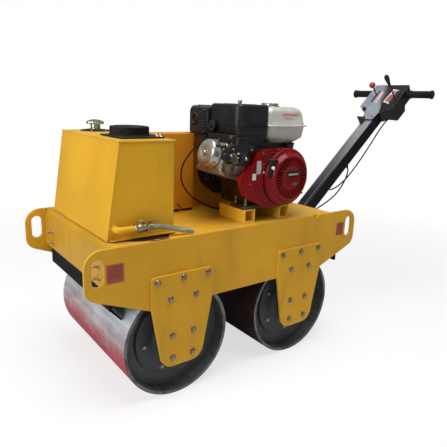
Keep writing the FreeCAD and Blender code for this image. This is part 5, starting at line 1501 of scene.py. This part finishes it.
dress("console_box", handle_black)
CONSOLE_OUT = 0.041
console_print, tree, shader = new_finish("console_print", 0.24, coat=0.3, coat_roughness=0.08)
clouds = mottle(tree, 14.0, 5.0)
up = handle_part(tree, UP)
slanted = plus(tree, object_axes(tree)[1], times(tree, up, 0.378))
slanted = math_node(tree, "SUBTRACT", plus(tree, slanted, times(tree, clouds, 0.020)), 0.3525)
blurred = math_node(tree, "DIVIDE", slanted, ramp(tree, up, 0.80, 0.97, 0.004, 0.060))
black_side = ramp(tree, blurred, -0.5, 0.5)
silver = cloudy(tree, clouds, (0.25, 0.28, 0.315), (0.18, 0.21, 0.25))
dark = cloudy(tree, clouds, (0.005, 0.0055, 0.006), (0.012, 0.0115, 0.011))
plate_top = ramp(tree, handle_part(tree, OUT), 0.0385, 0.0400)
body = mix(tree, plate_top, (0.010, 0.010, 0.010), mix(tree, black_side, silver, dark))
scuffs = ramp(tree, mottle(tree, 60.0, 5.0, (1, 3, 1), 0.6), 0.60, 0.75, 0.0, 0.25)
body = mix(tree, scuffs, body, (0.22, 0.22, 0.22))
rough = ramp(tree, clouds, 0.3, 0.75, 0.18, 0.34)
surface(tree, shader, body, rough, mottle(tree, 350.0, 2.0), 0.0001, 0.001)
dress("console_plate", console_print)
plate_face = face_frame(on_handle(0, CONSOLE_OUT), Y, UP)
label_white = plain_finish("label_white", (0.66, 0.62, 0.59), (0.50, 0.44, 0.41), 0.36, 80.0, high=0.75)
label_red = plain_finish("label_red", (0.42, 0.040, 0.035), (0.40, 0.11, 0.09), 0.38, 90.0, high=0.75)
label_pink = plain_finish("label_faded_pink", (0.60, 0.46, 0.46), (0.52, 0.30, 0.30), 0.3, 70.0, high=0.75)
VINYL = 0.0004
for name, finish, lift, thick, outlines in (
        ("console_labels_blank", label_white, 0.0, VINYL,
         [[(0.019, 0.880), (0.063, 0.864), (0.064, 0.973), (0.026, 0.982)]]),
        ("console_label_stripes", label_red, VINYL, 0.0003,
         [[(0.0290, 0.887), (0.0510, 0.879), (0.0510, 0.932), (0.0310, 0.938)],
          [(0.0350, 0.948), (0.0505, 0.943), (0.0505, 0.964), (0.0375, 0.969)]]),
        ("console_label_faded", label_pink, 0.0, VINYL,
         [[(-0.038, 0.874), (-0.014, 0.866), (-0.022, 0.958), (-0.038, 0.968)]])):
    labels = bmesh.new()
    for outline in outlines:
        outline_slab(labels, outline, plate_face @ level(lift), thick)
    make_piece(name, labels, finish, body="handle")
silver_side = ((-0.096, 1.004), (-0.092, 0.852), (-0.022, 0.762))
dark_side = ((0.092, 0.852), (0.096, 1.004), (0.0, 1.006), (0.022, 0.762))
for name, finish, places in (("console_screws_silver", console_print, silver_side),
                             ("console_screws_black", handle_black, dark_side)):
    screws = bmesh.new()
    for y, up in places:
        turn_on(screws, [(-0.001, 0.0042), (0.0012, 0.0040), (0.0022, 0.0030), (0.0025, 0)],
                on_handle(up, CONSOLE_OUT, y), OUT, 20)
    make_piece(name, screws, finish, body="handle")
console = bmesh.new()
turn_on(console, [(0, 0.0125), (0.004, 0.0122), (0.005, 0.0105), (0.0125, 0.0098), (0.0140, 0.0082),
                  (0.0140, 0)], on_handle(0.815, CONSOLE_OUT, -0.060), OUT, 28)
for y, up in ((-0.052, 0.929), (0.059, 0.924)):
    outline_slab(console, oblong(y - 0.0058, y + 0.0058, 0.874, 0.969, 0.0057), plate_face, 0.0007, -0.0004)
    turn_on(console, [(-0.001, 0.0068), (0.0010, 0.0066), (0.0022, 0.0056), (0.0022, 0.0046)],
            on_handle(up, CONSOLE_OUT - 0.0002, y), OUT, 24)
below = face_frame(on_handle(0, -0.054), Y, UP) @ Matrix.Scale(-1, 4, Z)
outline_slab(console, oblong(-0.076, 0.082, 0.846, 0.912, 0.005), below, 0.0016, -0.001)
make_piece("console_fittings", console, handle_black, body="handle")
seats = [(on_handle(up, -0.0556, y), up * 50) for up in (0.853, 0.905) for y in (-0.068, 0.074)]
bolt_group("cable_box_screws", seats, -OUT, 0.007, 0.011, body="handle")

# ======== handlebar and grips ========
# A stub of steel tube on each side of the console, with a ribbed rubber grip that has a
# flange at both ends.

dress("handlebar", handle_black)
grip_rubber, tree, shader = new_finish("grip_rubber", 0.55, specular=0.2)
clouds = mottle(tree, 26.0, 5.0)
body = cloudy(tree, clouds, (0.0045, 0.0045, 0.0050), (0.0115, 0.0110, 0.0105))
body = mix(tree, times(tree, edge_mask(tree, 0.001), 0.5), body, (0.045, 0.043, 0.042))
surface(tree, shader, body, ramp(tree, clouds, 0.3, 0.75, 0.45, 0.70), mottle(tree, 300.0, 3.0), 0.0002)
BAR = on_handle(0.979, 0.007)
GRIP = [(0.1130, 0.0150), (0.1130, 0.0212), (0.1142, 0.0220), (0.1202, 0.0220), (0.1215, 0.0208),
        (0.1222, 0.0186), (0.1230, 0.0186, 0.0010), (0.2320, 0.0186, 0.0010), (0.2330, 0.0186),
        (0.2342, 0.0210), (0.2352, 0.0220), (0.2410, 0.0220), (0.2420, 0.0212), (0.2424, 0.0170)]
for side, name in zip(SIDES, ("grip_left", "grip_right")):
    grip = bmesh.new()
    profile = [(side * along, *sizes) for along, *sizes in GRIP]
    close_ends(grip, turn_on(grip, profile, BAR, Y, 112, math.pi + ANGLE, ribbed))
    make_piece(name + "_ribbed", grip, grip_rubber, (name,), "handle")
collars = bmesh.new()
for side in SIDES:
    seat = BAR + Y * (side * 0.1000)
    turn_on(collars, [(0, 0.0190), (0.0040, 0.0178), (0.0052, 0.0150)], seat, Y * side, 36)
make_piece("handlebar_welds", collars, handle_black, body="handle")

# ======== levers ========
# Bent steel rods through the cover's slots: a red plastic ball works the vibration, a black
# pear-shaped knob the travel. The throttle's blade is clamped to the column's far edge.

rod_steel = steel_finish("lever_rod_steel", (0.060, 0.062, 0.060), 0.34, 0.7, (0.02, 0.018, 0.015), 0.5)
rod = bmesh.new()
bends = ((0.929, 0.020), (0.929, 0.046), (0.930, 0.062), (0.930, 0.080), (0.929, 0.100))
tube_along(rod, [on_handle(up, out, -0.052) for up, out in bends], 0.0036, 18)
make_piece("vibration_lever_rod", rod, rod_steel, body="handle")
ball_red, tree, shader = new_finish("lever_ball_red", 0.20, coat=0.4)
clouds = mottle(tree, 40.0, 4.0)
body = cloudy(tree, clouds, (0.42, 0.012, 0.030), (0.30, 0.010, 0.020))
surface(tree, shader, body, ramp(tree, clouds, 0.3, 0.75, 0.14, 0.32), mottle(tree, 200.0), 0.00008)
BALL = 0.0165
profile = [(-0.0175, 0.0), (-0.0175, 0.0062), (-0.0150, 0.0070)]
for angle in range(28, 177, 7):
    point = polar(BALL, math.radians(angle))
    profile.append((-point.x, point.y))
ball = bmesh.new()
turn_on(ball, profile + [(BALL, 0)], on_handle(0.929, 0.112, -0.052), OUT, 48)
make_piece("vibration_lever_ball", ball, ball_red, ("vibration_lever",), "handle")
knob_black = moulded_plastic("lever_knob_black", (0.0035, 0.0035, 0.0040), 0.20, 220.0, 0.00008, 0.04)
lean = (on_handle(0.935, 0.165, 0.050) - on_handle(0.926, 0.096, 0.057)).normalized()
neck = on_handle(0.928, 0.102, 0.056)
rod = bmesh.new()
bends = ((0.922, 0.020), (0.9235, 0.045), (0.9275, 0.068))
tube_along(rod, [on_handle(up, out, 0.059) for up, out in bends] + [neck - lean * 0.012, neck + lean * 0.004],
           0.0038, 18)
make_piece("travel_lever_rod", rod, rod_steel, body="handle")
knob = bmesh.new()
turn_on(knob, [(-0.0020, 0), (-0.0020, 0.0060), (0.0, 0.0068), (0.0120, 0.0074), (0.0240, 0.0086),
               (0.0360, 0.0104), (0.0450, 0.0119), (0.0520, 0.0125), (0.0580, 0.0122), (0.0630, 0.0110),
               (0.0668, 0.0088), (0.0692, 0.0056), (0.0700, 0)], neck, lean, 48)
make_piece("travel_lever_knob", knob, knob_black, ("travel_lever",), "handle")
throttle = bmesh.new()
clamp = face_frame(on_handle(0.716, 0.030, -0.034), Y, UP)
outline_slab(throttle, oblong(0.0, 0.019, 0.0, 0.022, 0.003), clamp, 0.0110, 0.0012)
blade = rounded([(-0.072, 0.757), (-0.020, 0.706), (-0.011, 0.708), (-0.014, 0.757)],
                (0.002, 0.003, 0.003, 0.003), 3)
outline_slab(throttle, blade, face_frame(on_handle(0, 0.0400), Y, UP), 0.0040, 0.0010)
make_piece("throttle_lever_blade", throttle, knob_black, ("throttle_lever",), "handle")

# ======== handle cables ========
# Two sheathed cables below the column: one from the console's cable box into the column
# again, one out of the column and into a gland on the rear panel, so it bends with the handle.

CONTROL_ROUTE = [on_handle(up / 1000, out / 1000, y / 1000) for up, out, y in (
    (838, -38, 48), (802, -38, 47), (742, -43, 44), (676, -59, 38), (610, -72, 32), (545, -84, 26),
    (482, -91, 21), (424, -92, 17), (374, -84, 14), (334, -70, 13), (304, -52, 12.5), (304, -30, 12.5))]
cable = cord_curve("control_cable_sheath", CONTROL_ROUTE, 0.0035, sheath_black)
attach(cable, "handle")
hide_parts("control_cable")
TRAVEL_ROUTE = [on_handle(0.462, -0.030, 0.027), on_handle(0.462, -0.046, 0.027)]
TRAVEL_ROUTE += route((-919, 27.5, 706), (-905, 30, 678), (-876, 35, 642), (-834, 42, 610), (-784, 49, 585),
                      (-729, 57, 566), (-671, 66, 551), (-613, 76, 539), (-562, 86, 527), (-514, 96, 520),
                      (-479, 96, 520))
sleeves = bmesh.new()
turn_on(sleeves, [(0, 0.0080), (0.003, 0.0080), (0.004, 0.0064), (0.022, 0.0042), (0.022, 0.0033)],
        CONTROL_ROUTE[0], -UP, 28)
for hole in (CONTROL_ROUTE[-1], TRAVEL_ROUTE[0]):
    turn_on(sleeves, [(0, 0.0078), (0.002, 0.0078), (0.003, 0.0062), (0.012, 0.0042), (0.012, 0.0033)],
            hole, -OUT, 28)
make_piece("control_cable_sleeves", sleeves, sheath_black, body="handle")

# The travel cable is a mesh tube along a curve like the others'.
guide = cord_curve("travel_cable_guide", TRAVEL_ROUTE, 0.0, sheath_black)
bpy.context.view_layer.update()
sampled = bpy.data.meshes.new_from_object(guide)
travel_line = [vertex.co.copy() for vertex in sampled.vertices]
bpy.data.objects.remove(guide)
tube = bmesh.new()
tube_along(tube, travel_line, 0.0035, 18)
cable = mesh_object("travel_cable_sheath", tube, sheath_black)
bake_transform(cable)
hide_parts("travel_cable")
gland = bmesh.new()
seat = TRAVEL_ROUTE[-1]
turn_on(gland, [(0.0140, 0.0105), (0.0110, 0.0105), (0.0105, 0.0098)], seat, X, 6)
turn_on(gland, [(0.0108, 0.0082), (0.0075, 0.0082), (0.0075, 0.0098)], seat, X, 32)
turn_on(gland, [(0.0078, 0.0100), (0.0020, 0.0100), (0.0005, 0.0088), (-0.0010, 0.0068), (-0.0160, 0.0044),
                (-0.0160, 0.0033)], seat, X, 32)
make_piece("travel_cable_gland", gland, sheath_black, ("cable_gland",))

# ======== studio ========
# A pale floor under soft light: a round panel overhead, one before the machine that keeps its
# front brighter than its side, and a faint one beside it.

scene = bpy.context.scene
camera_data = bpy.data.cameras.new("camera")
camera_data.lens = 37.767
camera_data.sensor_width = 36
camera = bpy.data.objects.new("camera", camera_data)
STAND = Vector((1.42226, 1.60365, 1.04499))
YAW, PITCH, ROLL = -2.22110895, -0.254404371, 0.0371540087
forward = Vector((math.cos(PITCH) * math.cos(YAW), math.cos(PITCH) * math.sin(YAW), math.sin(PITCH)))
across = forward.cross(Z).normalized()
upright = across.cross(forward)
right = math.cos(ROLL) * across + math.sin(ROLL) * upright
camera.matrix_world = face_frame(STAND, right, right.cross(forward))
scene.collection.objects.link(camera)
scene.camera = camera


def soft_panel(name, place, target, watts):
    """Round panel of light, turned to its target."""
    light = bpy.data.lights.new(name, "AREA")
    light.shape = "DISK"
    light.size = 3.0
    light.energy = watts
    lamp = bpy.data.objects.new(name, light)
    lamp.location = place
    lamp.rotation_euler = (Vector(target) - Vector(place)).to_track_quat("-Z", "Y").to_euler()
    scene.collection.objects.link(lamp)


soft_panel("front_panel_light", (4.2, 0.3, 2.2), (0.3, 0, 0.5), 112)
soft_panel("overhead_light", (0.2, 0.7, 4.2), (0.1, 0, 0.4), 125)
soft_panel("side_light", (-0.2, 4.4, 1.8), (0.0, 0, 0.6), 8)


def seen_directly(tree):
    """1 for what the camera sees itself or through glass, else 0."""
    rays = new_node(tree, "LightPath")
    return math_node(tree, "MAXIMUM", rays.outputs["Is Camera Ray"], rays.outputs["Is Transmission Ray"])


AMBIENT = 0.27
world = bpy.data.worlds.new("studio")
world.use_nodes = True
scene.world = world
tree = world.node_tree
sky = tree.nodes["Background"]
sky.inputs["Color"].default_value = (1, 1, 1, 1)
socket(tree, sky.inputs["Strength"], ramp(tree, seen_directly(tree), 0.0, 1.0, AMBIENT, 1.0))

# The floor takes the machine's shadow and turns pure white a few metres away from it.
NEAR_WHITE, FAR_WHITE = 1.3, 3.2
corners = [(-30, -30, 0), (30, -30, 0), (30, 30, 0), (-30, 30, 0)]
floor_mesh = bpy.data.meshes.new("floor")
floor_mesh.from_pydata(corners, [], [(0, 1, 2, 3)])
floor = bpy.data.objects.new("floor", floor_mesh)
scene.collection.objects.link(floor)
pale, tree, shader = new_finish("pale_floor", 0.9)
socket(tree, shader.inputs["Base Color"], (0.62, 0.62, 0.62))
reach = new_node(tree, "VectorMath", new_node(tree, "TexCoord").outputs["Object"])
reach.operation = "LENGTH"
whiteness = ramp(tree, reach.outputs["Value"], NEAR_WHITE, FAR_WHITE, 0.68, 1.0)
matt = new_node(tree, "BsdfDiffuse", (0.95, 0.95, 0.95))
glow = new_node(tree, "Emission", (1, 1, 1), 1.0)
faded = new_node(tree, "MixShader", whiteness, matt.outputs[0], glow.outputs[0])
shown = new_node(tree, "MixShader", seen_directly(tree), shader.outputs[0], faded.outputs[0])
socket(tree, tree.nodes["Material Output"].inputs["Surface"], shown.outputs[0])
floor_mesh.materials.append(pale)

scene.view_settings.view_transform = "Standard"
